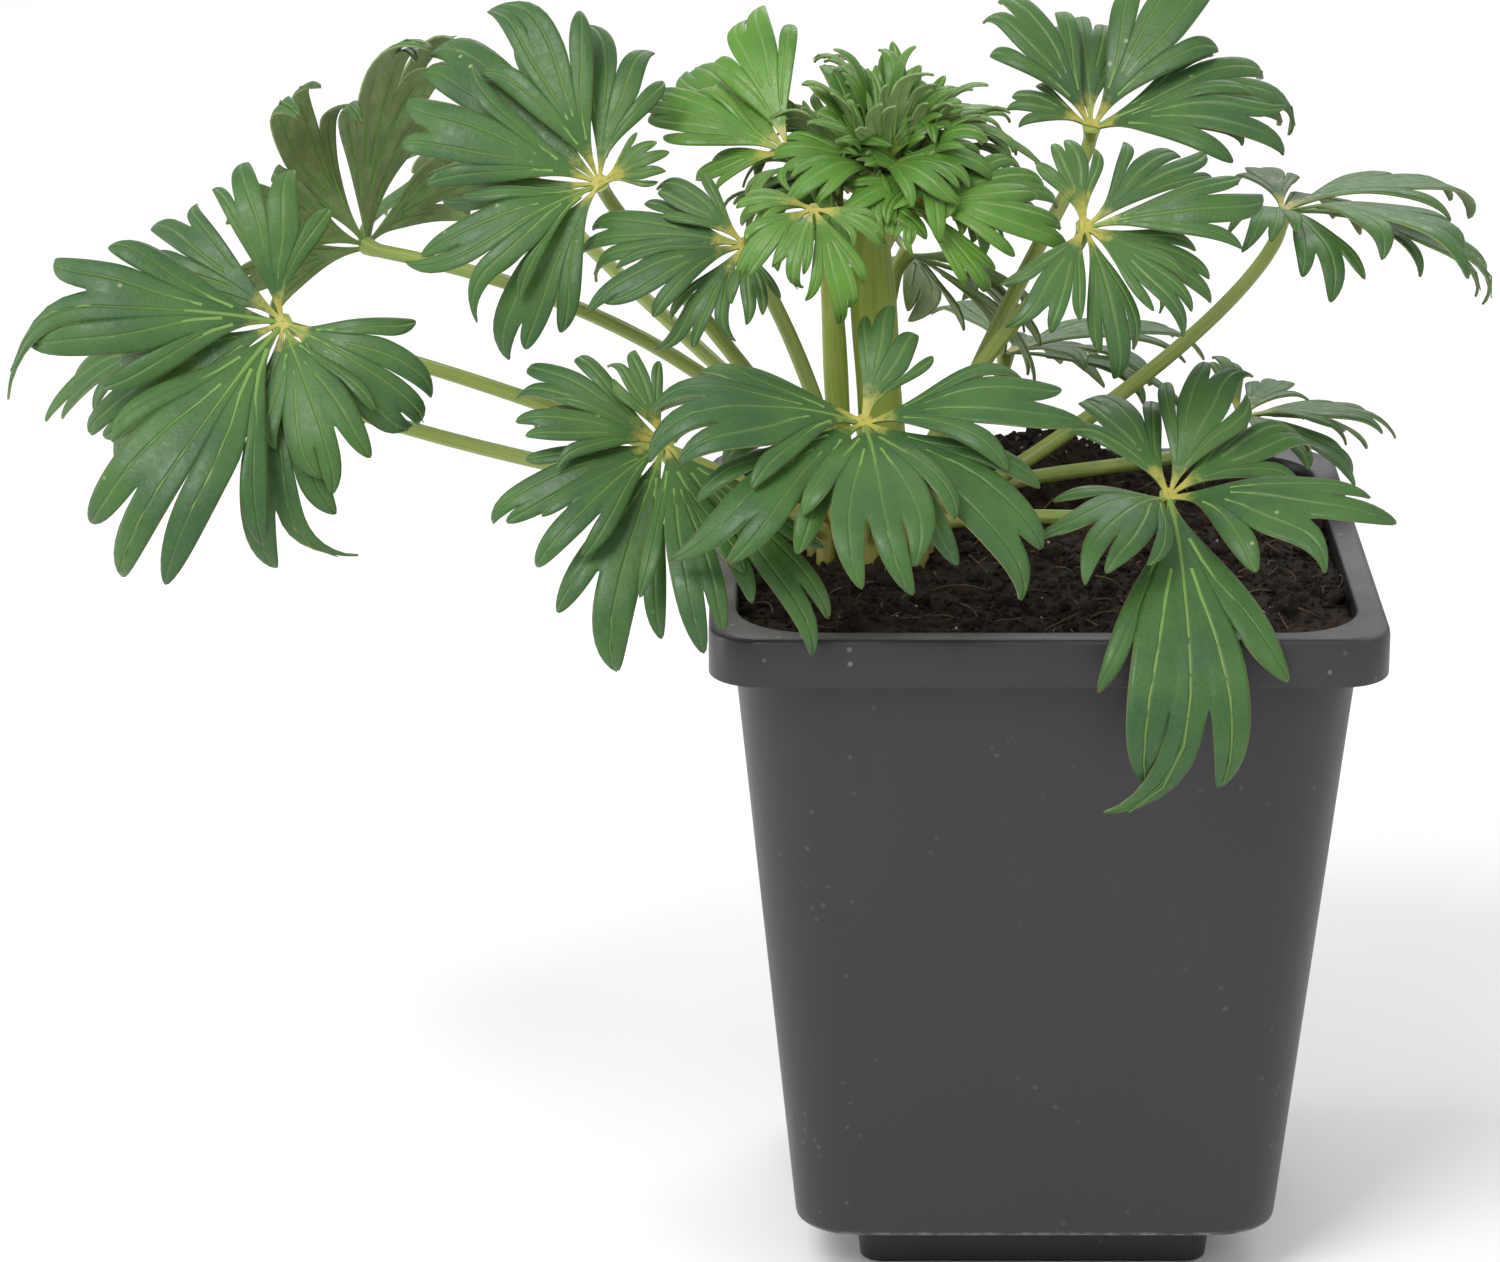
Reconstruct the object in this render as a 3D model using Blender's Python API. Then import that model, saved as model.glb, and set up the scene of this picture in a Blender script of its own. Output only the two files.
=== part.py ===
"""Potted monkshood: a young leafy Aconitum in a plain square nursery pot.

Blender 4.5, metres, +Z up, origin under the middle of the pot. Lengths in the tables below
are millimetres and angles are degrees; MM turns them into metres when a mesh is made.
Every blade is a palmate leaf: long lobes spread round a hub, each lobe split into fingers,
arched along its length and curled at the finger ends.
"""
import bpy
import bmesh
import numpy as np
from math import cos, pi, radians, sin

MM = 0.001

# ---- pot ----
POT_HEIGHT = 120.0
RIM_HALF = 55.0            # half the width over the rim
RIM_RADIUS = 8.5
RIM_DEPTH = 8.0            # how far the turned-down skirt hangs
RIM_WALL = 1.2
FLANGE = 1.5               # thickness of the flat top of the rim
BODY_TOP_HALF = 51.6       # half the width of the body under the flange
BODY_TOP_RADIUS = 14.0
BODY_FOOT_HALF = 40.4      # half the width of the body at its foot
BODY_FOOT_RADIUS = 10.0
WALL = 1.2
STEP_Z = 9.5               # height of the stepped-in foot
FOOT_TOP_HALF = 30.4
FOOT_HALF = 29.4
FOOT_RADIUS = 3.5
EDGE_ROUND = 0.6           # small bevel on the rim and at the soil's edge
CORNER_STEPS = 4           # facets in a rounded corner
DRAIN_WIDTH = 3.0
CORNER_DRAIN = (44.5, 9.0)           # distance from the middle, and length
SIDE_DRAIN = (34.5, 12.0)
FOOT_DRAIN = (20.0, 8.0)
DRAIN_CUT = 4.0                      # depth of the cutters, through one wall
SOIL_SIDE_STEPS = 3        # extra points along each side of the soil

# ---- soil and rootstock ----
GAP = 0.3                  # clearance between neighbouring pieces
SOIL_Z = 117.5
MOUND = (2.0, 34.0, 11.0, 11.0)      # x, y, height and spread of the heap at the back
CROWN = (-27.0, 0.0)       # where the growth comes out of the soil
ROOT_RADIUS = 11.0
ROOT_TOP = 121.0
ROOT_BOTTOM = 92.0
POCKET = 0.6               # clearance of the pocket round the rootstock

# ---- growth ----
BLADE = 0.5                # thickness of a blade
HUB_RADIUS = 1.3           # where the lobes start round the leaf's middle
PETIOLE_RADIUS = 1.35
STALK_RADIUS = 0.9         # stalks of the young leaves
SHOOT_SIDES = 10
PETIOLE_SIDES = 7
KNEE = 1.5                 # length of the straight end of a stalk, square to its blade
LOBE_ROWS = 4              # stations along a finger
CUP = -0.5                 # how far a lobe's edges turn down across its width
STAGGER = (8.0, -7.0)      # neighbouring lobes rise a little more and a little less

# Flat lobes of unit length: finger ends, and the notches between them.
PATTERNS = {
    "wide": dict(
        tips=((-.33, .62), (-.17, .88), (0, 1), (.17, .88), (.33, .60)),
        notches=((-.17, .44), (-.065, .62), (.065, .62), (.17, .44))),
    "middle": dict(
        tips=((-.22, .77), (0, 1), (.23, .75)),
        notches=((-.09, .52), (.09, .50))),
    "slim": dict(
        tips=((-.13, .80), (0, 1), (.14, .78)),
        notches=((-.05, .52), (.055, .54))),
    "left": dict(
        tips=((-.42, .52), (-.24, .82), (0, 1), (.16, .84)),
        notches=((-.22, .42), (-.09, .56), (.07, .62))),
    "right": dict(
        tips=((-.16, .84), (0, 1), (.24, .82), (.42, .52)),
        notches=((-.07, .62), (.09, .56), (.22, .42))),
}

# name: hub, azimuth and slope of the blade, default lift, droop and finger curl, then the
# lobes as (turn from downhill, length, pattern, width) with own lift, droop, curl at the end.
GROWN = {
    "left_front": ((-125, -15, 162), -95, 58, (22, 62, 35), (
        (-163, 33, "right", .85), (-130, 35, "left", .75), (-90, 51, "wide", .65),
        (-60, 43, "middle", .65), (-28, 59, "wide", .65), (-2, 48, "middle", .8),
        (24, 35, "wide", .75), (60, 35, "wide", .9, 35, 100, 35))),
    "left_back": ((-114, 24, 165), 140, 80, (18, 45, 110), (
        (180, 48, "middle", .85), (212, 44, "middle", .8), (246, 32, "middle", .85),
        (72, 28, "middle", .9, 30, 30, 30), (112, 34, "middle", .9, 30, 30, 30),
        (146, 44, "middle", .85))),
    "left_upper": ((-73, -9, 184), -100, 58, (20, 55, 30), (
        (-178, 34, "right", .75), (-153, 40, "middle", .9), (-129, 46, "middle", 1),
        (-104, 40, "middle", 1), (-79, 30, "slim", .9), (-53, 37, "wide", .7),
        (-26, 35, "middle", 1.1), (115, 13, "wide", 1.2, 20, 40, 30))),
    "left_rear": ((-88, 66, 171), 120, 15, (12, 55, 30), (
        (-36, 28, "middle", 1), (4, 32, "middle", 1), (44, 36, "middle", 1),
        (84, 38, "middle", 1), (122, 31, "middle", 1))),
    "left_under": ((-143, 20, 151), -150, 35, (16, 50, 30), (
        (-100, 26, "middle", 1), (-60, 30, "middle", 1), (-20, 32, "middle", 1),
        (20, 32, "middle", 1), (62, 28, "middle", 1))),
    "middle_left": ((-49, -18, 176), -97, 45, (20, 60, 35), (
        (-126, 20, "middle", 1), (-94, 32, "wide", .55), (-60, 30, "middle", .8),
        (-28, 24, "middle", .8), (12, 16, "middle", 1.1))),
    "low_left": ((-62, -34, 147), -88, 46, (25, 55, 40), (
        (-155, 18, "middle", 1), (-122, 31, "middle", .8), (-92, 27, "middle", .8),
        (-66, 34, "middle", .75), (-41, 36, "slim", 1), (-17, 44, "slim", 1.2),
        (8, 45, "middle", .65), (33, 49, "middle", .55, 35, 55, 40))),
    "front": ((-30, -42, 153), -90, 32, (28, 66, 35), (
        (-110, 40, "left", .8, 20, 58, 35), (-72, 43, "wide", .9, 31, 60, 35),
        (-38, 45, "middle", 1, 32, 60, 35), (5, 47, "wide", .8), (43, 45, "middle", 1.1),
        (81, 37, "middle", 1.2), (169, 23, "right", 1, 28, 50, 35))),
    "front_right": ((20, -30, 137), -80, 32, (25, 50, 30), (
        (-162, 28, "middle", 1.2), (-44, 38, "wide", .8, 34, 50, 30),
        (-6, 70, "wide", .6, 27, 95, 30), (58, 42, "right", .8, 30, 50, 30),
        (116, 32, "middle", 1), (150, 30, "middle", 1.3))),
    "right_upper": ((6, -22, 180), -85, 48, (20, 55, 30), (
        (-172, 17, "middle", 1.5), (-28, 25, "middle", 1.1), (12, 28, "slim", 1.3),
        (40, 27, "middle", .8), (64, 26, "middle", .9), (90, 34, "slim", 1.3),
        (122, 30, "left", .7))),
    "right_top": ((9, 15, 188), -90, 38, (35, 70, 55), (
        (-176, 28, "wide", .9), (-145, 32, "middle", 1.1), (-111, 17, "middle", 1.2),
        (74, 40, "middle", .8), (100, 43, "wide", .7), (139, 38, "middle", 1.1))),
    "right_end": ((41, 10, 175), -10, 4, (14, 56, 45), (
        (-96, 25, "middle", 1), (-62, 31, "slim", 1.3), (-30, 43, "middle", 1),
        (2, 46, "wide", .65), (34, 42, "middle", 1), (68, 32, "middle", .9),
        (104, 26, "middle", 1))),
    "low_right": ((37, 34, 132), -10, 4, (12, 45, 40), (
        (-62, 20, "slim", 1.2), (-28, 27, "middle", 1), (5, 29, "wide", .8),
        (36, 28, "middle", 1), (72, 24, "middle", 1), (112, 18, "slim", 1.2, 45, 30, 40))),
    "back": ((-3, 54, 138), 40, 10, (16, 45, 30), (
        (-80, 34, "middle", 1), (-45, 40, "middle", 1), (-10, 44, "middle", 1),
        (25, 40, "middle", 1), (60, 34, "middle", 1))),
    "back_upper": ((-21, 35, 161), 30, 40, (16, 45, 30), (
        (-70, 30, "middle", 1.1), (-35, 34, "middle", 1.1), (0, 34, "middle", 1.1),
        (40, 32, "middle", 1.1), (90, 28, "middle", 1.1))),
}
YOUNG = {
    "left": ((-42, -4, 188), -125, 40, (22, 50, 40), (
        (-143, 34, "middle", 1), (-118, 38, "middle", .9), (-92, 34, "wide", .55),
        (-64, 19, "middle", .9))),
    "hanging": ((-38, -25, 184), -88, 40, (32, 105, 50), (
        (-89, 15, "slim", 1.2), (-50, 20, "middle", 1), (-16, 19, "slim", 1.2),
        (14, 25, "middle", .8), (54, 16, "middle", .8))),
    "right": ((-22, -14, 182), -78, 42, (25, 70, 50), (
        (-16, 11, "slim", 1.2), (30, 24, "slim", 1.1), (64, 30, "middle", 1),
        (96, 30, "middle", .9))),
    "right_high": ((-19, 9, 190), -5, 16, (22, 50, 40), (
        (-34, 20, "middle", 1), (2, 24, "middle", 1), (40, 18, "middle", 1.1),
        (84, 18, "slim", 1.2))),
    "tip_right": ((-23, 7, 187), -70, 75, (8, 20, 30), (
        (180, 17, "middle", 1.3), (144, 13, "slim", 1.3), (212, 10, "slim", 1.3))),
    "tip_back": ((-28, 18, 191), 0, 70, (5, 70, 60), (
        (178, 14, "slim", 1.4), (142, 12, "slim", 1.3), (214, 12, "slim", 1.3))),
    "tip_middle": ((-27, -5, 185), -80, 65, (10, 15, 10), (
        (176, 16, "slim", 1.1), (135, 13, "slim", 1), (220, 13, "slim", 1))),
    "tip_left": ((-34, 3, 186), -100, 70, (10, 25, 20), (
        (178, 10, "slim", 2), (130, 12, "slim", 1.3), (228, 12, "slim", 1.3))),
}


# ---------------------------------------------------------------- small helpers
def unit(v):
    return v / np.linalg.norm(v)


def bezier(points, t):
    points = [np.asarray(p, float) for p in points]
    t = np.asarray(t, float)[:, None]
    while len(points) > 1:
        points = [a + (b - a) * t for a, b in zip(points, points[1:])]
    return points[0]


def material(name, colour, roughness):
    mat = bpy.data.materials.new(name)
    mat.use_nodes = True
    shader = mat.node_tree.nodes["Principled BSDF"]
    shader.inputs["Base Color"].default_value = (*colour, 1)
    shader.inputs["Roughness"].default_value = roughness
    shader.inputs["Metallic"].default_value = 0
    mat.diffuse_color = (*colour, 1)
    return mat


def add_object(name, bm, mat, parent):
    mesh = bpy.data.meshes.new(name)
    bm.to_mesh(mesh)
    bm.free()
    mesh.materials.append(mat)
    obj = bpy.data.objects.new(name, mesh)
    bpy.context.scene.collection.objects.link(obj)
    obj.parent = parent
    return obj


def cut(obj, cutter):
    """Takes cutter away from obj and keeps it hidden in the file."""
    cutter.hide_render = True
    cutter.display_type = 'WIRE'
    mod = obj.modifiers.new("cut_" + cutter.name, 'BOOLEAN')
    mod.operation = 'DIFFERENCE'
    mod.solver = 'EXACT'
    mod.object = cutter


# ---------------------------------------------------------------- pot, soil, rootstock
def square_loop(half, radius, side_steps=0):
    """A rounded square of corner radius, counter-clockwise, in x and y."""
    points = []
    for corner in range(4):
        mid = pi / 4 + corner * pi / 2
        cx = np.sign(cos(mid)) * (half - radius)
        cy = np.sign(sin(mid)) * (half - radius)
        for k in range(CORNER_STEPS + 1):
            a = corner * pi / 2 + k / CORNER_STEPS * pi / 2
            points.append((cx + radius * cos(a), cy + radius * sin(a)))
        x, y = points[-1]
        straight = 2 * (half - radius)
        a = (corner + 1) * pi / 2 + pi / 2
        for k in range(1, side_steps + 1):
            step = k / (side_steps + 1) * straight
            points.append((x + step * cos(a), y + step * sin(a)))
    return points


def lofted(rings, cap_first=True, cap_last=True):
    """Skins a list of equal rings of 3-D points (mm)."""
    bm = bmesh.new()
    verts = [[bm.verts.new([c * MM for c in p]) for p in ring] for ring in rings]
    for low, high in zip(verts, verts[1:]):
        for i, a in enumerate(low):
            j = (i + 1) % len(low)
            bm.faces.new((a, low[j], high[j], high[i]))
    if cap_first:
        bm.faces.new(verts[0][::-1])
    if cap_last:
        bm.faces.new(verts[-1])
    bmesh.ops.recalc_face_normals(bm, faces=bm.faces)
    return bm


def square_rings(stations, side_steps=0):
    return [[(x, y, z) for x, y in square_loop(half, radius, side_steps)]
            for z, half, radius in stations]


def body_half(z):
    """Half the outside width of the tapered body at height z."""
    rise = (z - STEP_Z) / (POT_HEIGHT - FLANGE - STEP_Z)
    return BODY_FOOT_HALF + (BODY_TOP_HALF - BODY_FOOT_HALF) * rise


def body_radius(z):
    rise = (z - STEP_Z) / (POT_HEIGHT - FLANGE - STEP_Z)
    return BODY_FOOT_RADIUS + (BODY_TOP_RADIUS - BODY_FOOT_RADIUS) * rise


def make_pot(parent):
    skirt_z = POT_HEIGHT - RIM_DEPTH
    under = POT_HEIGHT - FLANGE
    inner_low = STEP_Z + WALL
    stations = (
        (0, FOOT_HALF, FOOT_RADIUS),
        (STEP_Z, FOOT_TOP_HALF, FOOT_RADIUS),
        (STEP_Z, BODY_FOOT_HALF - EDGE_ROUND, BODY_FOOT_RADIUS),
        (STEP_Z + EDGE_ROUND, body_half(STEP_Z + EDGE_ROUND), BODY_FOOT_RADIUS),
        (under, BODY_TOP_HALF, BODY_TOP_RADIUS),
        (under, RIM_HALF - RIM_WALL, RIM_RADIUS - RIM_WALL),
        (skirt_z, RIM_HALF - RIM_WALL, RIM_RADIUS - RIM_WALL),
        (skirt_z, RIM_HALF, RIM_RADIUS),
        (POT_HEIGHT - EDGE_ROUND, RIM_HALF, RIM_RADIUS),
        (POT_HEIGHT, RIM_HALF - EDGE_ROUND, RIM_RADIUS - EDGE_ROUND),
        (POT_HEIGHT, BODY_TOP_HALF - WALL + EDGE_ROUND, BODY_TOP_RADIUS - WALL),
        (POT_HEIGHT - EDGE_ROUND, BODY_TOP_HALF - WALL, BODY_TOP_RADIUS - WALL),
        (inner_low, body_half(inner_low) - WALL, BODY_FOOT_RADIUS - WALL),
        (inner_low, FOOT_TOP_HALF - WALL, FOOT_RADIUS - WALL),
        (WALL, FOOT_HALF - WALL, FOOT_RADIUS - WALL),
    )
    black = material("nursery_pot_plastic", (.035, .035, .038), .42)
    pot = add_object("nursery_pot", lofted(square_rings(stations)), black, parent)
    cut(pot, make_drains(black, parent))
    return pot


def make_drains(mat, parent):
    """Slots through the step at each corner and side, and four through the foot's floor."""
    bm = bmesh.new()
    slots = []
    for turn in range(4):
        side = turn * pi / 2
        corner = side + pi / 4
        slots.append((CORNER_DRAIN, corner, corner + pi / 2, STEP_Z + WALL / 2))
        slots.append((SIDE_DRAIN, side, side + pi / 2, STEP_Z + WALL / 2))
        slots.append((FOOT_DRAIN, side, side, WALL / 2))
    for (distance, length), bearing, angle, z in slots:
        for v in bmesh.ops.create_cube(bm, size=1)["verts"]:
            lx = v.co.x * length
            ly = v.co.y * DRAIN_WIDTH
            v.co = ((distance * cos(bearing) + lx * cos(angle) - ly * sin(angle)) * MM,
                    (distance * sin(bearing) + lx * sin(angle) + ly * cos(angle)) * MM,
                    (z + v.co.z * DRAIN_CUT) * MM)
    bmesh.ops.recalc_face_normals(bm, faces=bm.faces)
    return add_object("drain_slots", bm, mat, parent)


def soil_height(x, y):
    mx, my, rise, spread = MOUND
    heap = rise * np.exp(-((x - mx) ** 2 + ((y - my) * 1.1) ** 2) / (2 * spread ** 2))
    lumps = .7 * sin(x * .31 + 1) * cos(y * .27) + .4 * sin(x * .83 + y * .61)
    edge = max(abs(x), abs(y)) / BODY_TOP_HALF
    return SOIL_Z + (heap + lumps + 1.2 * (1 - edge)) * min(1, (1 - edge) * 6)


def make_soil(parent):
    top = SOIL_Z - .5
    inner_low = STEP_Z + WALL + GAP
    slack = WALL + GAP
    rings = square_rings((
        (WALL + GAP, FOOT_HALF - slack, FOOT_RADIUS - slack),
        (inner_low, FOOT_TOP_HALF - slack, FOOT_RADIUS - slack),
        (inner_low, body_half(inner_low) - slack, BODY_FOOT_RADIUS - slack),
        (top, body_half(top) - slack, body_radius(top) - slack)), SOIL_SIDE_STEPS)
    outline = np.array(square_loop(body_half(top) - slack - .2, body_radius(top) - slack,
                                   SOIL_SIDE_STEPS))
    for share in (.97, .82, .66, .46, .22):
        rings.append([(x, y, soil_height(x, y)) for x, y in outline * share])
    bm = lofted(rings)
    peat = material("potting_soil", (.025, .018, .013), .95)
    soil = add_object("potting_soil", bm, peat, parent)
    pocket = add_object("rootstock_pocket", root_shape(POCKET, 6), peat, parent)
    cut(soil, pocket)
    return soil


def root_shape(extra, above):
    """The rootstock, a turnip shape, grown by extra and carried up by above."""
    x, y = CROWN
    depth = ROOT_TOP - ROOT_BOTTOM
    rings = []
    for share, radius in ((0, .22), (.18, .55), (.42, .86), (.66, 1), (.86, .92), (1, .74)):
        z = ROOT_BOTTOM - extra + share * (depth + extra)
        r = ROOT_RADIUS * radius + extra
        rings.append([(x + r * cos(a), y + .85 * r * sin(a), z) for a in np.arange(12) * pi / 6])
    if above:
        rings.append([(px, py, ROOT_TOP + above) for px, py, _ in rings[-1]])
    return lofted(rings)


# ---------------------------------------------------------------- stems and petioles
def tube(path, radii, sides):
    """A round stalk along a polyline, closed at both ends."""
    path = np.asarray(path, float)
    rings = []
    side = None
    for i, p in enumerate(path):
        along = unit(path[min(i + 1, len(path) - 1)] - path[max(i - 1, 0)])
        guess = np.array([1.0, 0, 0]) if side is None and abs(along[0]) < .8 else side
        guess = np.array([0, 1.0, 0]) if guess is None else guess
        side = unit(guess - along * (guess @ along))
        other = np.cross(along, side)
        rings.append([p + radii[i] * (cos(a) * side + sin(a) * other)
                      for a in np.arange(sides) * 2 * pi / sides])
    return lofted(rings)


def make_stem(name, points, radii, mat, parent):
    path = bezier(points, np.linspace(0, 1, 8))
    widths = np.interp(np.linspace(0, 1, 8), np.linspace(0, 1, len(radii)), radii)
    return add_object(name, tube(path, widths, SHOOT_SIDES), mat, parent)


# base of each petiole round the crown (mm from its middle) and how it bows on the way
PETIOLES = {
    "left_front": ((-10, -3.5), (-62, -2, 138), (-106, 12, 150)),
    "left_back": ((-9.5, 4), (-44, 6, 152), (-86, 12, 164)),
    "left_upper": ((-6, -4.5), (-40, -3, 146), (-68, 12, 166)),
    "left_rear": ((-6, 8), (-44, 16, 142), (-76, 52, 152)),
    "left_under": ((-10.5, .3), (-60, 4, 126), (-122, 14, 134)),
    "middle_left": ((-4.5, -9), (-36, -8, 150), (-45, -8, 166)),
    "low_left": ((-8.5, -7), (-46, -14, 126), (-58, -22, 134)),
    "front": ((-1, -9.5), (-26, -24, 134), (-30, -32, 142)),
    "front_right": ((7, -7.5), (-8, -12, 130), (14, -20, 128)),
    "right_upper": ((3.5, -9), (-20, -8, 150), (4, -5, 166)),
    "right_top": ((8, -3.5), (-16, -4, 150), (8, 20, 176)),
    "right_end": ((10, .2), (10, 5, 136), (38, 10, 160)),
    "low_right": ((9.5, 4.2), (-4, 14, 130), (30, 33, 122)),
    "back": ((2.5, 9), (-18, 26, 130), (-6, 46, 130)),
    "back_upper": ((-2, 8.5), (-28, 16, 140), (-24, 28, 152)),
}
# shoots: points from the middle of the crown (x, y) with heights, and radii along them
SHOOTS = {
    "main_shoot": (((2, 0, 121.3), (1, 0, 145), (-2, 1, 165), (-1, 1, 182)), (4.2, 3.9, 3.6, 2.6)),
    "side_shoot": (((-5, .5, 121.3), (-5, .5, 128), (-8, -1, 142), (-6, -1, 162), (-10, 0, 177)),
                   (2.2, 2.1, 1.9, 1.6)),
}
# short stalks of the young leaves: where they start and one bow point
YOUNG_STALKS = {
    "left": ((-39.5, 0.5, 179), (-40, -1, 182)),
    "hanging": ((-37, -5.5, 176), (-38, -19, 176)),
    "right": ((-25, -6, 175), (-23, -9, 177)),
    "right_high": ((-22.5, 3.5, 180.5), (-20, 6, 183)),
}


def leaf_frame(facing, slope):
    """Downhill, across and outward directions of a blade."""
    a = radians(facing)
    t = radians(slope)
    level = np.array([cos(a), sin(a), 0])
    outward = np.array([0, 0, cos(t)]) + sin(t) * level
    downhill = cos(t) * level - np.array([0, 0, sin(t)])
    return downhill, np.cross(outward, downhill), outward


def stalk_end(spec):
    """The stalk stops just under the blade at its hub."""
    outward = leaf_frame(spec[1], spec[2])[2]
    return np.array(spec[0], float) - outward * (BLADE / 2 + GAP)


def make_petiole(name, start, bows, spec, radius, mat, parent):
    outward = leaf_frame(spec[1], spec[2])[2]
    end = stalk_end(spec)
    knee = end - outward * KNEE
    rise = np.array([0, 0, 5.0])
    points = [start + rise * .3, start + rise, *bows, knee - outward * 4, knee]
    path = np.vstack([start, bezier(points, np.linspace(0, 1, 8)), end])
    widths = np.interp(np.linspace(0, 1, 10), (0, .15, 1), (radius * 1.15, radius, radius * .8))
    return add_object(name, tube(path, widths, PETIOLE_SIDES), mat, parent)


# ---------------------------------------------------------------- blades
def free_edge(start, tip, side, plump, steps):
    """From a notch to a finger end, bulging to one side: +1 right, -1 left."""
    start = np.array(start)
    tip = np.array(tip)
    run = tip - start
    across = unit(np.array([run[1], -run[0]])) * side * plump
    return bezier([start, start + run * .3 + across * .9, start + run + across * 1.7, tip],
                  np.linspace(0, 1, steps + 1))


def lobe_fingers(pattern, width, foot):
    """Left and right borders of each finger, shared with its neighbours up to the notch."""
    tips = [np.array([x * width, y]) for x, y in pattern["tips"]]
    notches = [np.array([x * width, y]) for x, y in pattern["notches"]]
    base = np.linspace(-foot, foot, len(tips) + 1)
    borders = []
    for j, notch in enumerate(notches):
        k = int(np.clip(round(LOBE_ROWS * notch[1] / .95), 1, LOBE_ROWS - 1))
        x = base[j + 1]
        shared = bezier([(x, 0), (x + .12 * (notch[0] - x), .5 * notch[1]), notch],
                        np.linspace(0, 1, k + 1))
        edges = []
        for tip, side in ((tips[j], 1), (tips[j + 1], -1)):
            plump = .045 * (np.linalg.norm(tip - notch) * width) ** .5
            free = free_edge(notch, tip, side, plump, LOBE_ROWS - k)
            edges.append(np.vstack([shared, free[1:]]))
        borders.append((k, edges))

    def outer(side, tip):
        x = abs(tip[0])
        return bezier([(side * foot, 0), (side * (foot + .004), .15),
                       (side * (x * .35 + .02), .40 * tip[1]), (side * (x + .03), .72 * tip[1]),
                       (side * x, tip[1])], np.linspace(0, 1, LOBE_ROWS + 1))

    fingers = []
    last = len(tips) - 1
    for j, tip in enumerate(tips):
        left = borders[j - 1][1][1] if j else outer(-1, tip)
        right = borders[j][1][0] if j < last else outer(1, tip)
        k_left = borders[j - 1][0] if j else borders[j][0]
        k_right = borders[j][0] if j < last else borders[j - 1][0]
        fingers.append((left, right, k_left, k_right, tip))
    return fingers


def curled(points, finger, turn):
    """Rolls the free end of a finger down through turn, as a growing curve."""
    left, right, k_left, k_right, tip = finger
    foot = (left[k_left] + right[k_right]) / 2
    reach = np.linalg.norm(tip - foot)
    axis = (tip - foot) / reach
    start = max((left[k_left] - foot) @ axis, (right[k_right] - foot) @ axis, 0)
    reach -= start
    s = np.linspace(0, 1, 33)
    angle = turn * ((s[1:] + s[:-1]) / 2) ** 1.3
    along = np.concatenate([[0], np.cumsum(np.cos(angle))]) / 32
    drop = np.concatenate([[0], np.cumsum(np.sin(angle))]) / 32
    out = np.column_stack([points, np.zeros(len(points))])
    for i, p in enumerate(points):
        a = (p - foot) @ axis
        if a > start:
            q = min((a - start) / reach, 1)
            new = np.interp(q, s, along) * reach + start
            out[i, :2] += (new - a) * axis
            out[i, 2] = -np.interp(q, s, drop) * reach
    return out


def arched(points, lift, droop):
    """Bends a flat unit lobe: it rises by lift at the hub and falls by droop to its end."""
    s = np.linspace(0, 1, 41)
    middle = (s[1:] + s[:-1]) / 2
    angle = radians(lift) - radians(droop) * middle ** 1.25
    out = np.concatenate([[0], np.cumsum(np.cos(angle))]) / 40
    up = np.concatenate([[0], np.cumsum(np.sin(angle))]) / 40
    bent = []
    for x, y, z in points:
        yc = min(max(y, 0), 1)
        a = radians(lift) - radians(droop) * yc ** 1.25
        z = z + CUP * x * x
        bent.append((np.interp(yc, s, out) + (y - yc) * cos(a) - z * sin(a), -x,
                     np.interp(yc, s, up) + (y - yc) * sin(a) + z * cos(a)))
    return np.array(bent)


def from_widest_gap(lobes):
    """The lobes in order round the hub, starting after the widest gap."""
    lobes = sorted(lobes, key=lambda lobe: lobe[0] % 360)
    gaps = [(lobe[0] - lobes[i - 1][0]) % 360 for i, lobe in enumerate(lobes)]
    first = gaps.index(max(gaps))
    return lobes[first:] + lobes[:first]


def make_blade(name, spec, mat, parent):
    hub, facing, slope, usual, lobes = spec
    hub = np.array(hub, float)
    downhill, across, outward = leaf_frame(facing, slope)
    lobes = from_widest_gap(lobes)
    turns = [lobe[0] % 360 for lobe in lobes]
    bm = bmesh.new()
    middle = bm.verts.new(hub * MM)
    for i, lobe in enumerate(lobes):
        turn, length, kind, width = lobe[:4]
        lift, droop, curl = lobe[4:] or usual
        lift = lift + STAGGER[i % 2]
        before = (turns[i] - turns[i - 1]) % 360
        after = (turns[(i + 1) % len(turns)] - turns[i]) % 360
        share = radians(min(before, after, 60) * .42)
        foot = HUB_RADIUS * share / length
        t = radians(turn)
        away = cos(t) * downhill + sin(t) * across
        aside = np.cross(outward, away)
        for finger in lobe_fingers(PATTERNS[kind], width, foot):
            sides = []
            for border in finger[:2]:
                flat = curled(border, finger, radians(curl))
                bent = arched(flat, lift, droop) * length
                sides.append([bm.verts.new((hub + (HUB_RADIUS + p[0]) * away + p[1] * aside
                                            + p[2] * outward) * MM) for p in bent])
            left, right = sides
            for r in range(LOBE_ROWS - 1):
                bm.faces.new((left[r], right[r], right[r + 1], left[r + 1]))
            bm.faces.new((left[-2], right[-2], right[-1]))
    bmesh.ops.remove_doubles(bm, verts=bm.verts, dist=1e-6)
    close_hub(bm, middle, hub * MM, downhill, across)
    bmesh.ops.recalc_face_normals(bm, faces=bm.faces)
    turn_outward(bm, outward)
    blade = add_object(name, bm, mat, parent)
    thick = blade.modifiers.new("thickness", 'SOLIDIFY')
    thick.thickness = BLADE * MM
    thick.offset = 0
    thick.use_even_offset = False
    return blade


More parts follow.
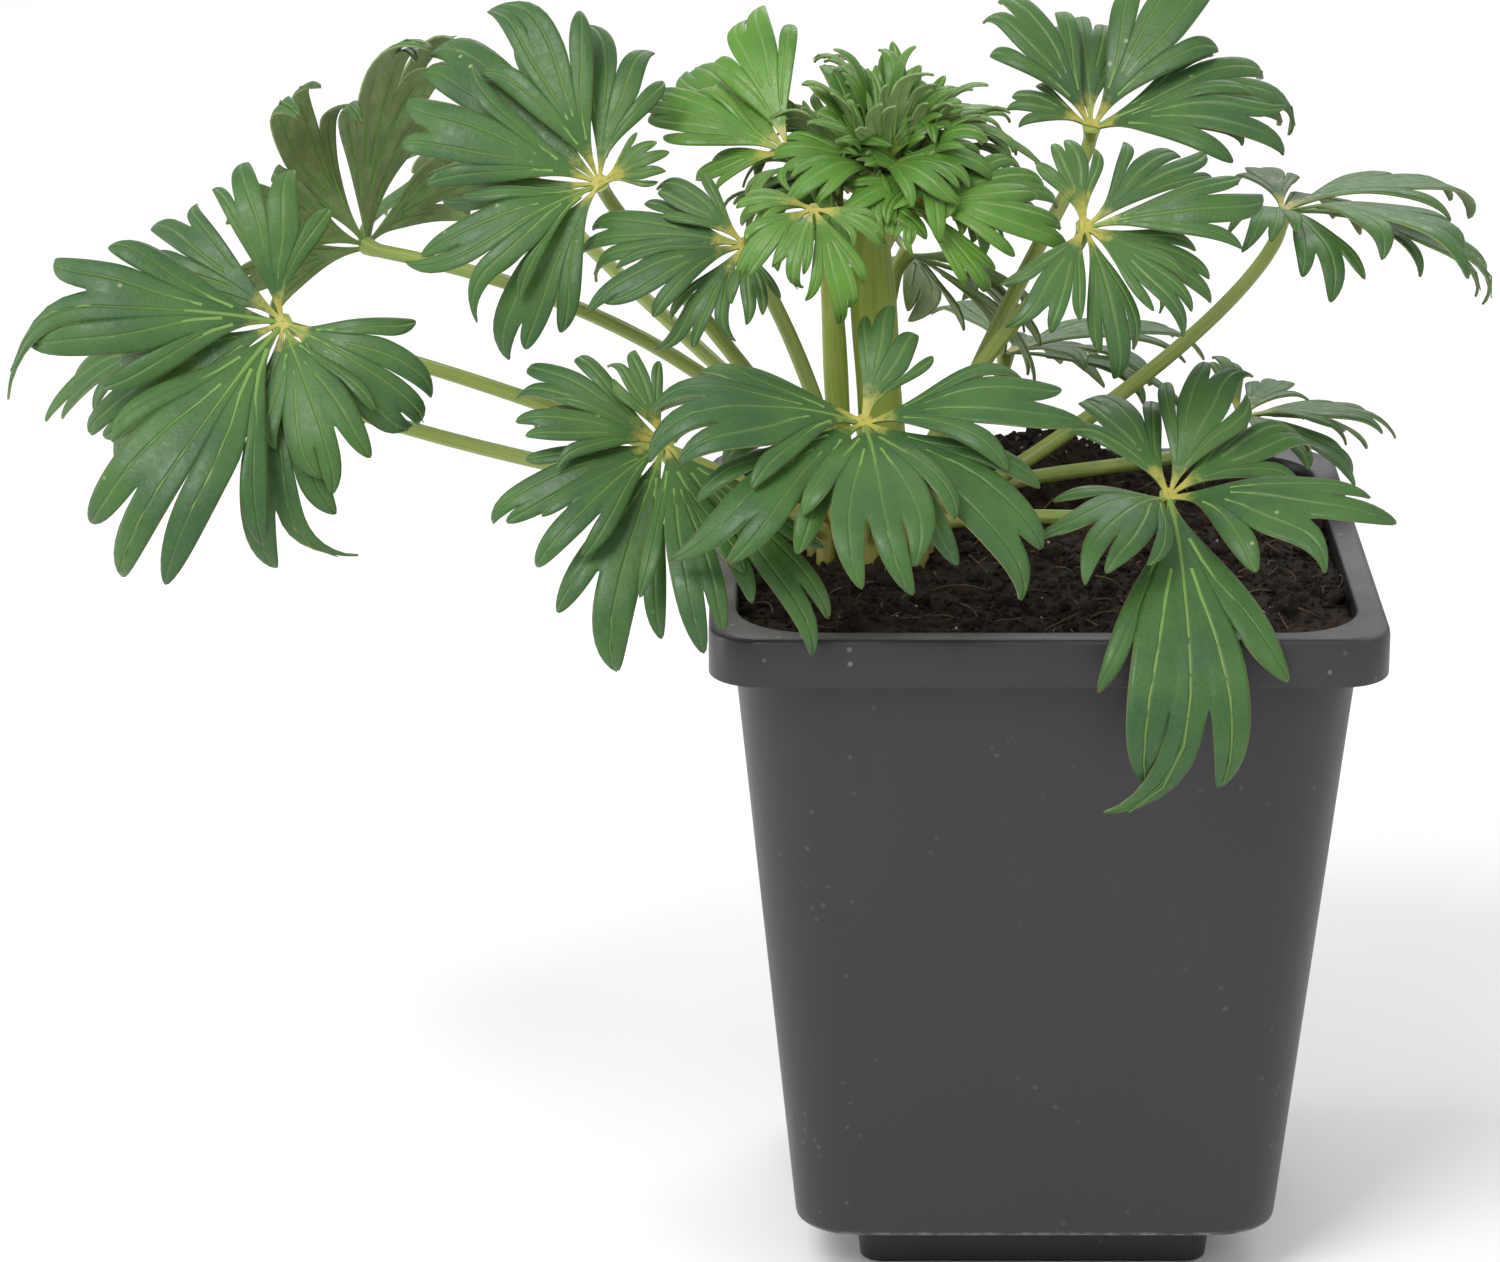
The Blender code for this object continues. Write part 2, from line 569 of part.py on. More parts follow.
def close_hub(bm, middle, hub, downhill, across):
    """Joins the feet of the lobes with a flat star round the hub."""
    reach = HUB_RADIUS * MM * 1.6
    feet = [v for v in bm.verts if v != middle and np.linalg.norm(np.array(v.co) - hub) < reach]

    def bearing(v):
        rel = np.array(v.co) - hub
        return np.arctan2(rel @ across, rel @ downhill)

    feet.sort(key=bearing)
    for a, b in zip(feet, feet[1:] + feet[:1]):
        gap = (bearing(b) - bearing(a)) % (2 * pi)
        if gap < pi * .95:
            bm.faces.new((middle, a, b))


def turn_outward(bm, outward):
    """Points the upper side of the sheet the way the leaf faces."""
    score = sum(f.calc_area() * (np.array(f.normal) @ outward) for f in bm.faces)
    if score < 0:
        bmesh.ops.reverse_faces(bm, faces=bm.faces)


# ---------------------------------------------------------------- the whole plant
def main():
    for obj in list(bpy.data.objects):
        bpy.data.objects.remove(obj, do_unlink=True)
    root = bpy.data.objects.new("potted_monkshood", None)
    bpy.context.scene.collection.objects.link(root)

    make_pot(root)
    make_soil(root)
    cork = material("rootstock", (.20, .13, .07), .85)
    add_object("rootstock", root_shape(0, 0), cork, root)

    stem_green = material("stem_green", (.36, .42, .10), .5)
    petiole_green = material("petiole_green", (.33, .40, .12), .5)
    leaf_green = material("leaf_green", (.055, .15, .035), .55)
    young_green = material("young_leaf_green", (.10, .26, .03), .5)

    x, y = CROWN
    for name, (points, radii) in SHOOTS.items():
        make_stem(name, [(x + px, y + py, pz) for px, py, pz in points], radii, stem_green, root)
    for name, spec in GROWN.items():
        (dx, dy), bow_1, bow_2 = PETIOLES[name]
        start = np.array([x + dx, y + dy, ROOT_TOP + GAP])
        make_petiole("petiole_" + name, start, (bow_1, bow_2), spec, PETIOLE_RADIUS,
                     petiole_green, root)
        make_blade("leaf_" + name, spec, leaf_green, root)
    for name, spec in YOUNG.items():
        if name in YOUNG_STALKS:
            start, bow = YOUNG_STALKS[name]
            make_petiole("stalk_young_" + name, np.array(start), (bow,), spec, STALK_RADIUS,
                         petiole_green, root)
        make_blade("young_leaf_" + name, spec, young_green, root)


main()
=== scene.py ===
"""Finished look of a potted monkshood: a young Aconitum in a plain square nursery pot.

Laid out as a Blender add-on and run as a script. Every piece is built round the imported
model, in its frame: metres, +Z up, origin under the middle of the pot. The growth tables
are in millimetres and degrees, and MM turns millimetres into metres.
"""
import bpy
import bmesh
import numpy as np
from math import cos, pi, radians, sin
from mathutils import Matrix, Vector


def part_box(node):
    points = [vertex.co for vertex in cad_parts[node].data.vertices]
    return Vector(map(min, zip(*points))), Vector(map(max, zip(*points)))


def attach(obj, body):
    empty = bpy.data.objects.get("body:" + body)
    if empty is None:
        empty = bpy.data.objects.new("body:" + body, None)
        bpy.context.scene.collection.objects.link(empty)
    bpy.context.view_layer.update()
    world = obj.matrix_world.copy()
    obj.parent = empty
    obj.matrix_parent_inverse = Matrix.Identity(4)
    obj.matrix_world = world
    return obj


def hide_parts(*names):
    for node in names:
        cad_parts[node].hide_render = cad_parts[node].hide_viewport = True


bl_info = {
    "name": "Potted Monkshood",
    "version": (1, 0, 0),
    "blender": (4, 5, 0),
    "location": "View3D > Sidebar > Monkshood",
    "description": "Builds a potted monkshood: pot, soil, rootstock, shoots, stalks and leaves",
    "category": "Add Mesh",
}

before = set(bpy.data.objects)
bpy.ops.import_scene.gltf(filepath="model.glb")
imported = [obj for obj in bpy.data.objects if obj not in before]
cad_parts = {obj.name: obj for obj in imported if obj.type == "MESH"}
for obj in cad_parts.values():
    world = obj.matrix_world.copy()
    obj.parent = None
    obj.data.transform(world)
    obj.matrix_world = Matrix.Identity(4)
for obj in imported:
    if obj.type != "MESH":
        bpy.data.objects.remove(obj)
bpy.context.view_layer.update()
MM = 0.001
FULL_TURN = 6.28           # radians, for random bearings

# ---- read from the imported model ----
POT_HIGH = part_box("nursery_pot")[1]
ROOT_LOW, ROOT_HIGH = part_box("rootstock")
SHOOT_LOW, SHOOT_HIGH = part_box("main_shoot")
POT_HEIGHT = POT_HIGH.z / MM
RIM_HALF = POT_HIGH.x / MM
CROWN = np.array([(ROOT_LOW.x + ROOT_HIGH.x) / 2, (ROOT_LOW.y + ROOT_HIGH.y) / 2]) / MM
ROOT_TOP = ROOT_HIGH.z / MM

# ---- pot ----
RIM_RADIUS = 8.5
RIM_DEPTH = 8.0            # how far the turned-down skirt hangs
WALL = 1.2
FLANGE = 1.5               # thickness of the flat top of the rim
BODY_TOP_HALF = 51.6
BODY_TOP_RADIUS = 14.0
BODY_FOOT_HALF = 40.4
BODY_FOOT_RADIUS = 10.0
STEP_Z = 9.5               # height of the stepped-in foot
FOOT_TOP_HALF = 30.4
FOOT_HALF = 29.4
FOOT_RADIUS = 3.5
DRAIN_WIDTH = 3.0
CORNER_DRAIN = (44.5, 9.0)           # distance from the middle, and length
SIDE_DRAIN = (34.5, 12.0)
FOOT_DRAIN = (20.0, 8.0)

# ---- soil ----
SOIL_Z = 117.5
MOUND = (2.0, 34.0, 11.0, 11.0)      # x, y, height and spread of the heap at the back

# ---- blades ----
BLADE = 0.42               # thickness of a blade
HUB_RADIUS = 1.3           # where the lobes start round the leaf's middle
HUB_REACH = 1.3            # the lobes' feet lie within this many hub radii
FOOT_SHARE = .42           # half of a lobe's foot, as a share of the gap to its neighbour
FOOT_GAP = 60              # degrees, the widest gap that a foot fills its share of
FINGER_ROWS = 11           # stations along a finger
FINGER_COLUMNS = (-1, -.55, 0, .55, 1)
VEIN_COLUMN = FINGER_COLUMNS.index(0)
END_ASIDE = .012           # scatter of the finger ends across a lobe of length 1
END_ALONG = (-.012, .02)   # mean and scatter of the same ends along it
NOTCH_ALONG = .03          # scatter of the notches along it
SIDE_FINGER = .3           # a finger that leans more than this is fed by a side vein
UNBRANCHED = .05           # a side finger's distance from a vein before its own begins
VEIN_LEAN = .34            # how far a side finger's vein starts towards the main one
FINGER_CROWN = .30         # rise of a finger's middle, as a share of its half width
FINGER_GROOVE = .16        # depth of the groove along its vein, likewise
CUP = -0.5                 # how far a lobe's edges turn down across its width
MOST_CURL = 125.0          # degrees, past which no finger end rolls
CURL_VARIES = (.9, 1.9)    # least and greatest share of its leaf's curl that a finger takes
HOOK_VARIES = .24          # spread of the sideways swing of the finger ends
CURL_POWER = 1.8           # how late along its free part a finger curls
STAGGER = (8.0, -7.0)      # neighbouring lobes rise a little more and a little less
BRANCHING = 0.45           # side veins leave the main one at this share of the way to a notch
RIB_RADIUS = .42           # of the rib under a lobe of RIB_LENGTH, at its foot
RIB_LENGTH = 45

# Flat lobes of unit length: finger ends, and the notches between them.
PATTERNS = {
    "wide": dict(
        tips=((-.36, .62), (-.19, .86), (0, 1), (.18, .88), (.34, .60)),
        notches=((-.19, .42), (-.07, .58), (.065, .60), (.18, .43))),
    "middle": dict(
        tips=((-.25, .70), (-.10, .90), (.03, 1), (.24, .72)),
        notches=((-.11, .48), (-.03, .66), (.10, .47))),
    "slim": dict(
        tips=((-.13, .80), (0, 1), (.14, .78)),
        notches=((-.05, .52), (.055, .54))),
    "left": dict(
        tips=((-.43, .52), (-.25, .80), (0, 1), (.17, .84)),
        notches=((-.23, .38), (-.09, .54), (.07, .60))),
    "right": dict(
        tips=((-.17, .84), (0, 1), (.25, .80), (.43, .52)),
        notches=((-.07, .60), (.09, .54), (.23, .38))),
}

# name: hub, azimuth and slope of the blade, default lift, droop and finger curl, then the
# lobes as (turn from downhill, length, pattern, width) with own lift, droop, curl at the end.
GROWN = {
    "left_front": ((-125, -15, 162), -95, 58, (22, 62, 35), (
        (-163, 33, "right", .9), (-130, 35, "left", .8), (-90, 51, "wide", .75),
        (-60, 43, "middle", .8), (-28, 59, "wide", .75), (-2, 48, "middle", .9),
        (24, 35, "wide", .85), (60, 35, "wide", .9, 35, 100, 35))),
    "left_back": ((-114, 24, 165), 140, 80, (18, 45, 110), (
        (180, 48, "middle", .95), (212, 44, "middle", .9), (246, 32, "middle", .9),
        (72, 28, "middle", 1, 30, 30, 30), (112, 34, "middle", 1, 30, 30, 30),
        (146, 44, "middle", .95))),
    "left_upper": ((-73, -9, 184), -100, 58, (20, 55, 30), (
        (-178, 34, "right", .75), (-153, 40, "middle", .9), (-129, 46, "middle", 1),
        (-104, 40, "middle", 1), (-79, 30, "slim", .9), (-53, 37, "wide", .7),
        (-26, 35, "middle", 1.1), (115, 13, "wide", 1.2, 20, 40, 30))),
    "left_rear": ((-88, 66, 171), 120, 15, (12, 55, 30), (
        (-36, 28, "middle", 1), (4, 32, "middle", 1), (44, 36, "middle", 1),
        (84, 38, "middle", 1), (122, 31, "middle", 1))),
    "left_under": ((-143, 20, 151), -150, 35, (16, 50, 30), (
        (-100, 26, "middle", 1), (-60, 30, "middle", 1), (-20, 32, "middle", 1),
        (20, 32, "middle", 1), (62, 28, "middle", 1))),
    "middle_left": ((-49, -18, 176), -97, 45, (20, 60, 35), (
        (-126, 20, "middle", 1.1), (-94, 32, "wide", .65), (-60, 30, "middle", .9),
        (-28, 24, "middle", .9), (12, 16, "middle", 1.2))),
    "low_left": ((-62, -34, 147), -88, 46, (25, 55, 40), (
        (-155, 18, "middle", 1.1), (-122, 31, "middle", .9), (-92, 27, "middle", .9),
        (-66, 34, "middle", .85), (-41, 36, "slim", 1.2), (-17, 44, "slim", 1.4),
        (8, 45, "middle", .75), (33, 49, "middle", .6, 35, 55, 40))),
    "front": ((-30, -42, 153), -90, 32, (28, 66, 35), (
        (-110, 40, "left", .8, 20, 58, 35), (-72, 43, "wide", .9, 31, 60, 35),
        (-38, 45, "middle", 1, 32, 60, 35), (5, 47, "wide", .8), (43, 45, "middle", 1.1),
        (81, 37, "middle", 1.2), (169, 23, "right", 1, 28, 50, 35))),
    "front_right": ((20, -30, 137), -80, 32, (25, 50, 30), (
        (-162, 28, "middle", 1.2), (-44, 38, "wide", .8, 34, 50, 30),
        (-6, 70, "wide", .6, 27, 95, 30), (58, 42, "right", .8, 30, 50, 30),
        (116, 32, "middle", 1), (150, 30, "middle", 1.3))),
    "right_upper": ((6, -22, 180), -85, 48, (20, 55, 30), (
        (-172, 17, "middle", 1.5), (-28, 25, "middle", 1.1), (12, 28, "slim", 1.3),
        (40, 27, "middle", .8), (64, 26, "middle", .9), (90, 34, "slim", 1.3),
        (122, 30, "left", .7))),
    "right_top": ((9, 15, 188), -90, 38, (35, 70, 55), (
        (-176, 28, "wide", .9), (-145, 32, "middle", 1.1), (-111, 17, "middle", 1.2),
        (74, 40, "middle", .8), (100, 43, "wide", .7), (139, 38, "middle", 1.1))),
    "right_end": ((41, 10, 175), -10, 4, (14, 56, 45), (
        (-96, 25, "middle", 1), (-62, 31, "slim", 1.3), (-30, 43, "middle", 1),
        (2, 46, "wide", .65), (34, 42, "middle", 1), (68, 32, "middle", .9),
        (104, 26, "middle", 1))),
    "low_right": ((37, 34, 132), -10, 4, (12, 45, 40), (
        (-62, 20, "slim", 1.2), (-28, 27, "middle", 1), (5, 29, "wide", .8),
        (36, 28, "middle", 1), (72, 24, "middle", 1), (112, 18, "slim", 1.2, 45, 30, 40))),
    "back": ((-3, 54, 138), 40, 10, (16, 45, 30), (
        (-80, 34, "middle", 1), (-45, 40, "middle", 1), (-10, 44, "middle", 1),
        (25, 40, "middle", 1), (60, 34, "middle", 1))),
    "back_upper": ((-21, 35, 161), 30, 40, (16, 45, 30), (
        (-70, 30, "middle", 1.1), (-35, 34, "middle", 1.1), (0, 34, "middle", 1.1),
        (40, 32, "middle", 1.1), (90, 28, "middle", 1.1))),
}
YOUNG = {
    "left": ((-42, -4, 188), -125, 40, (22, 50, 40), (
        (-143, 34, "middle", 1), (-118, 38, "middle", .9), (-92, 34, "wide", .55),
        (-64, 19, "middle", .9))),
    "hanging": ((-38, -25, 184), -88, 40, (32, 105, 50), (
        (-89, 15, "slim", 1.2), (-50, 20, "middle", 1), (-16, 19, "slim", 1.2),
        (14, 25, "middle", .8), (54, 16, "middle", .8))),
    "right": ((-22, -14, 182), -78, 42, (25, 70, 50), (
        (-16, 11, "slim", 1.2), (30, 24, "slim", 1.1), (64, 30, "middle", 1),
        (96, 30, "middle", .9))),
    "right_high": ((-19, 9, 190), -5, 16, (22, 50, 40), (
        (-34, 20, "middle", 1), (2, 24, "middle", 1), (40, 18, "middle", 1.1),
        (84, 18, "slim", 1.2))),
    "tip_right": ((-23, 7, 187), -70, 75, (8, 20, 30), (
        (180, 17, "middle", 1.3), (144, 13, "slim", 1.3), (212, 10, "slim", 1.3))),
    "tip_back": ((-28, 18, 191), 0, 70, (5, 70, 60), (
        (178, 14, "slim", 1.4), (142, 12, "slim", 1.3), (214, 12, "slim", 1.3))),
    "tip_middle": ((-27, -5, 185), -80, 65, (10, 15, 10), (
        (176, 16, "slim", 1.1), (135, 13, "slim", 1), (220, 13, "slim", 1))),
    "tip_left": ((-34, 3, 186), -100, 70, (10, 25, 20), (
        (178, 10, "slim", 2), (130, 12, "slim", 1.3), (228, 12, "slim", 1.3))),
}
# Leaf stalks: the foot from the middle of the crown, and the two points that the stalk bows to.
PETIOLES = {
    "left_front": ((-10, -3.5), (-62, -2, 138), (-106, 12, 150)),
    "left_back": ((-9.5, 4), (-44, 6, 152), (-86, 12, 164)),
    "left_upper": ((-6, -4.5), (-40, -3, 146), (-68, 12, 166)),
    "left_rear": ((-6, 8), (-44, 16, 142), (-76, 52, 152)),
    "left_under": ((-10.5, .3), (-60, 4, 126), (-122, 14, 134)),
    "middle_left": ((-4.5, -9), (-36, -8, 150), (-45, -8, 166)),
    "low_left": ((-8.5, -7), (-46, -14, 126), (-58, -22, 134)),
    "front": ((-1, -9.5), (-26, -24, 134), (-30, -32, 142)),
    "front_right": ((7, -7.5), (-8, -12, 130), (14, -20, 128)),
    "right_upper": ((3.5, -9), (-20, -8, 150), (4, -5, 166)),
    "right_top": ((8, -3.5), (-16, -4, 150), (8, 20, 176)),
    "right_end": ((10, .2), (10, 5, 136), (38, 10, 160)),
    "low_right": ((9.5, 4.2), (-4, 14, 130), (30, 33, 122)),
    "back": ((2.5, 9), (-18, 26, 130), (-6, 46, 130)),
    "back_upper": ((-2, 8.5), (-28, 16, 140), (-24, 28, 152)),
}
# Stalks of young leaves: the foot, and the point that the stalk bows to.
STALKS = {
    "left": ((-39.5, .5, 179), (-40, -1, 182)),
    "hanging": ((-37, -5.5, 176), (-38, -19, 176)),
    "right": ((-25, -6, 175), (-23, -9, 177)),
    "right_high": ((-22.5, 3.5, 180.5), (-20, 6, 183)),
}
# Shoots: points from the middle of the crown (x, y) with heights, and radii along them.
SHOOTS = {
    "main_shoot": (((2, 0, 118), (1, 0, 145), (-2, 1, 165), (-1, 1, 184)), (4.3, 3.9, 3.6, 2.4)),
    "side_shoot": (((-5, .5, 118), (-5, .5, 128), (-8, -1, 142), (-6, -1, 162), (-10, 0, 179)),
                   (2.3, 2.1, 1.9, 1.5)),
}

# ---- tuft of unfolding leaves at the tip of the main shoot ----
TUFT_COUNT = 15
TUFT_INNER = 7             # the first ones stand up, the others arch outwards
TUFT_BEARING = 20          # degrees, of the first one
GOLDEN_ANGLE = 137.5
SHOOT_TIP = np.array([(SHOOT_LOW.x + SHOOT_HIGH.x) / 2, 0, SHOOT_HIGH.z]) / MM
# Lobes of a tuft leaf: the turn from downhill, and the share of the leaf's length.
TUFT_ERECT = ((180, 1), (150, .9), (210, .9), (118, .6), (242, .6))
TUFT_SPREAD = ((0, .9), (42, 1), (-42, 1), (86, 1), (-86, 1), (132, .8), (-132, .8))

# ---- camera and stage ----
FLOOR_HALF = 6             # metres
AIM = (-.03, 0, .13)       # what every light points at
LIGHTS = {                 # place, size and power
    "key": ((-.55, -.75, 1.15), (.6, .6), 13),
    "fill": ((.95, -.65, .75), (.9, .9), 3),
    "back": ((.15, 1.1, 1.0), (1.0, .7), 6),
    "left_strip": ((-1.0, .10, .35), (.25, 1.0), 4),
}
LENS = 139.6
CAMERA_PLACE = (-.0483, -.938, .412)
CAMERA_PITCH = 18.2        # degrees below level


# ---------------------------------------------------------------- settings
def colour_property(name, description, default):
    return bpy.props.FloatVectorProperty(name=name, description=description, subtype='COLOR',
                                         size=3, min=0, max=1, default=default)


class MonkshoodPot(bpy.types.PropertyGroup):
    corner_steps: bpy.props.IntProperty(
        name="Corner steps", description="Facets in each rounded corner", default=12, min=2)
    plastic: colour_property("Plastic", "Colour of the moulded plastic", (.019, .019, .0215))
    dust: colour_property("Dust", "Colour of the dust on the rim", (.30, .29, .27))


class MonkshoodSoil(bpy.types.PropertyGroup):
    crumbs: bpy.props.FloatProperty(
        name="Crumbs", description="Small crumbs per square metre of soil", default=330000)
    lumps: bpy.props.FloatProperty(
        name="Lumps", description="Larger lumps per square metre of soil", default=26000)
    fibres: bpy.props.FloatProperty(
        name="Fibres", description="Root and bark fibres per square metre", default=15000)
    specks: bpy.props.FloatProperty(
        name="Specks", description="White mineral specks per square metre", default=9000)
    peat: colour_property("Peat", "Colour of the peat", (.020, .013, .009))


class MonkshoodLeaves(bpy.types.PropertyGroup):
    thickness: bpy.props.FloatProperty(
        name="Thickness", description="Thickness of a blade", default=BLADE * MM,
        subtype='DISTANCE', unit='LENGTH')
    upper: colour_property("Upper side", "Colour of a grown leaf's upper side", (.030, .098, .020))
    under: colour_property("Under side", "Colour of a leaf's under side", (.185, .265, .10))
    young: colour_property("Young", "Colour of a young leaf", (.060, .175, .016))
    vein: colour_property("Veins", "Colour of the veins", (.125, .225, .045))
    hub: colour_property("Hub", "Colour where the lobes meet", (.40, .36, .065))


class MonkshoodStems(bpy.types.PropertyGroup):
    petiole_radius: bpy.props.FloatProperty(
        name="Petiole radius", description="Radius of a grown leaf's stalk", default=1.35 * MM,
        subtype='DISTANCE', unit='LENGTH')
    stalk_radius: bpy.props.FloatProperty(
        name="Stalk radius", description="Radius of a young leaf's stalk", default=.9 * MM,
        subtype='DISTANCE', unit='LENGTH')
    foot: colour_property("Foot", "Colour of a stalk where it leaves the soil", (.38, .35, .10))
    stalk: colour_property("Stalk", "Colour along a stalk", (.25, .33, .065))
    shoot: colour_property("Shoot", "Colour of the shoots", (.30, .39, .045))


class MonkshoodStage(bpy.types.PropertyGroup):
    floor: colour_property("Floor", "Colour of the floor", (.86, .86, .86))
    sky: bpy.props.FloatProperty(
        name="Surround", description="Brightness of the pale surround", default=.66, min=0)


# ---------------------------------------------------------------- node helpers
class Nodes:
    """Adds nodes to a tree and joins them by the sockets that they are given."""

    def __init__(self, tree):
        self.tree = tree

    def add(self, kind, inputs=None, **settings):
        node = self.tree.nodes.new(kind)
        for key, value in settings.items():
            setattr(node, key, value)
        for name, value in (inputs or {}).items():
            self.put(node.inputs[name], value)
        return node

    def put(self, socket, value):
        if isinstance(value, bpy.types.NodeSocket):
            self.tree.links.new(value, socket)
        else:
            socket.default_value = value

    def maths(self, operation, *values):
        node = self.add("ShaderNodeMath", operation=operation)
        for socket, value in zip(node.inputs, values):
            self.put(socket, value)
        return node.outputs[0]

    def scaled(self, vector, factor):
        node = self.add("ShaderNodeVectorMath", {0: vector}, operation='SCALE')
        self.put(node.inputs["Scale"], factor)
        return node.outputs[0]

    def ramp(self, value, low, high, start=0.0, end=1.0):
        """A smooth step from start to end as value goes from low to high."""
        node = self.add("ShaderNodeMapRange", {"Value": value, "From Min": low, "From Max": high,
                                               "To Min": start, "To Max": end},
                        interpolation_type='SMOOTHSTEP')
        return node.outputs["Result"]


class Material(Nodes):
    """A Principled material under construction."""

    def __init__(self, name, colour, roughness):
        self.material = bpy.data.materials.new(name)
        self.material.use_nodes = True
        self.material.diffuse_color = (*colour, 1)
        super().__init__(self.material.node_tree)
        self.shader = self.tree.nodes["Principled BSDF"]
        self.shader.inputs["Base Color"].default_value = (*colour, 1)
        self.shader.inputs["Roughness"].default_value = roughness
        self.place = self.add("ShaderNodeTexCoord").outputs["Object"]

    def noise(self, scale, detail=3.0, roughness=.5, stretch=None):
        place = self.place
        if stretch:
            place = self.add("ShaderNodeMapping", {"Vector": place, "Scale": stretch}).outputs[0]
        node = self.add("ShaderNodeTexNoise", {"Vector": place, "Scale": scale, "Detail": detail,
                                               "Roughness": roughness})
        return node.outputs["Fac"]

    def cells(self, scale, feature='F1'):
        node = self.add("ShaderNodeTexVoronoi", {"Vector": self.place, "Scale": scale},
                        feature=feature)
        return node.outputs["Distance"]

    def attribute(self, name):
        return self.add("ShaderNodeAttribute", attribute_name=name).outputs["Fac"]

    def mix(self, factor, first, second, blend='MIX'):
        node = self.add("ShaderNodeMix", data_type='RGBA', blend_type=blend)
        for socket, value in ((node.inputs[0], factor), (node.inputs[6], first),
                              (node.inputs[7], second)):
            if isinstance(value, tuple) and len(value) == 3:
                value = (*value, 1)
            self.put(socket, value)
        return node.outputs[2]

    def bump(self, height, distance, strength=1.0, below=None):
        inputs = {"Height": height, "Distance": distance, "Strength": strength}
        if below:
            inputs["Normal"] = below
        return self.add("ShaderNodeBump", inputs).outputs["Normal"]

    def finish(self, colour=None, roughness=None, normal=None, **constants):
        if colour is not None:
            self.put(self.shader.inputs["Base Color"], colour)
        if roughness is not None:
            self.put(self.shader.inputs["Roughness"], roughness)
        if normal is not None:
            self.put(self.shader.inputs["Normal"], normal)
        for name, value in constants.items():
            self.shader.inputs[name.replace("_", " ")].default_value = value
        return self.material


class Growth(Nodes):
    """A Geometry Nodes tree under construction, with named inputs."""

    def __init__(self, name, sizes):
        tree = bpy.data.node_groups.new(name, 'GeometryNodeTree')
        super().__init__(tree)
        face = tree.interface
        face.new_socket(name="Geometry", in_out='INPUT', socket_type='NodeSocketGeometry')
        face.new_socket(name="Geometry", in_out='OUTPUT', socket_type='NodeSocketGeometry')
        for size, value in sizes.items():
            kind = 'NodeSocketInt' if isinstance(value, int) else 'NodeSocketFloat'
            socket = face.new_socket(name=size, in_out='INPUT', socket_type=kind)
            socket.default_value = value
        self.given = self.add("NodeGroupInput").outputs
        self.result = self.add("NodeGroupOutput")

    def named(self, name):
        return self.add("GeometryNodeInputNamedAttribute", {"Name": name},
                        data_type='FLOAT').outputs["Attribute"]

    def store(self, geometry, name, value):
        node = self.add("GeometryNodeStoreNamedAttribute",
                        {"Geometry": geometry, "Name": name, "Value": value},
                        data_type='FLOAT', domain='POINT')
        return node.outputs[0]

    def random(self, low, high, seed, vector=False):
        kind = 'FLOAT_VECTOR' if vector else 'FLOAT'
        node = self.add("FunctionNodeRandomValue", data_type=kind)
        sockets = [s for s in node.inputs if s.name in ("Min", "Max") and s.enabled]
        sockets[0].default_value = low
        sockets[1].default_value = high
        self.put(node.inputs["Seed"], seed)
        return next(s for s in node.outputs if s.enabled)

    def circle(self, sides, radius):
        return self.add("GeometryNodeCurvePrimitiveCircle",
                        {"Resolution": sides, "Radius": radius}).outputs[0]

    def tube(self, line, section, thickness=1.0):
        """Sweeps a section along a line, closed at both ends."""
        return self.add("GeometryNodeCurveToMesh",
                        {"Curve": line, "Profile Curve": section, "Scale": thickness,
                         "Fill Caps": True}).outputs[0]

    def close(self, geometry, material, smooth=True):
        """Ends the tree: real geometry, shading and material."""
        real = self.add("GeometryNodeRealizeInstances", {"Geometry": geometry}).outputs[0]
        shaded = self.add("GeometryNodeSetShadeSmooth", {"Geometry": real, "Shade Smooth": smooth})
        made = self.add("GeometryNodeSetMaterial", {"Geometry": shaded.outputs[0],
                                                    "Material": material}).outputs[0]
        self.tree.links.new(made, self.result.inputs[0])
        return self.tree


def grow(obj, tree, sizes=None):
    """Runs a tree on obj and keeps the plain mesh that comes out."""
    modifier = obj.modifiers.new(tree.name, 'NODES')
    modifier.node_group = tree
    for item in tree.interface.items_tree:
        if item.in_out == 'INPUT' and item.name in (sizes or {}):
            modifier[item.identifier] = sizes[item.name]
    mesh = baked(obj).data
    made = mesh.materials[mesh.polygons[0].material_index]
    mesh.materials.clear()
    mesh.materials.append(made)
    return obj


def baked(obj):
    """Replaces obj's mesh by the evaluated one and drops its modifiers."""
    bpy.context.view_layer.update()
    graph = bpy.context.evaluated_depsgraph_get()
    mesh = bpy.data.meshes.new_from_object(obj.evaluated_get(graph), depsgraph=graph)
    obj.modifiers.clear()
    mesh.name = obj.name
    obj.data = mesh
    if not len(mesh.polygons):
        raise RuntimeError(f"{obj.name} came out empty")
    return obj


# ---------------------------------------------------------------- mesh helpers
def unit(v):
    return v / np.linalg.norm(v)


def bezier(points, t):
    points = [np.asarray(p, float) for p in points]
    t = np.asarray(t, float)[:, None]
    while len(points) > 1:
        points = [a + (b - a) * t for a, b in zip(points, points[1:])]
    return points[0]


def new_piece(name, bm, *materials):
    mesh = bpy.data.meshes.new(name)
    bm.to_mesh(mesh)
    bm.free()
    return link_piece(name, mesh, *materials)


def link_piece(name, mesh, *materials):
    for material in materials:
        mesh.materials.append(material)
    obj = bpy.data.objects.new(name, mesh)
    bpy.context.scene.collection.objects.link(obj)
    return obj


def keep(obj, slot, *nodes):
    """Hands a finished piece to the frame."""
    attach(obj, "root")
    if nodes:
        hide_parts(*nodes)
    return obj


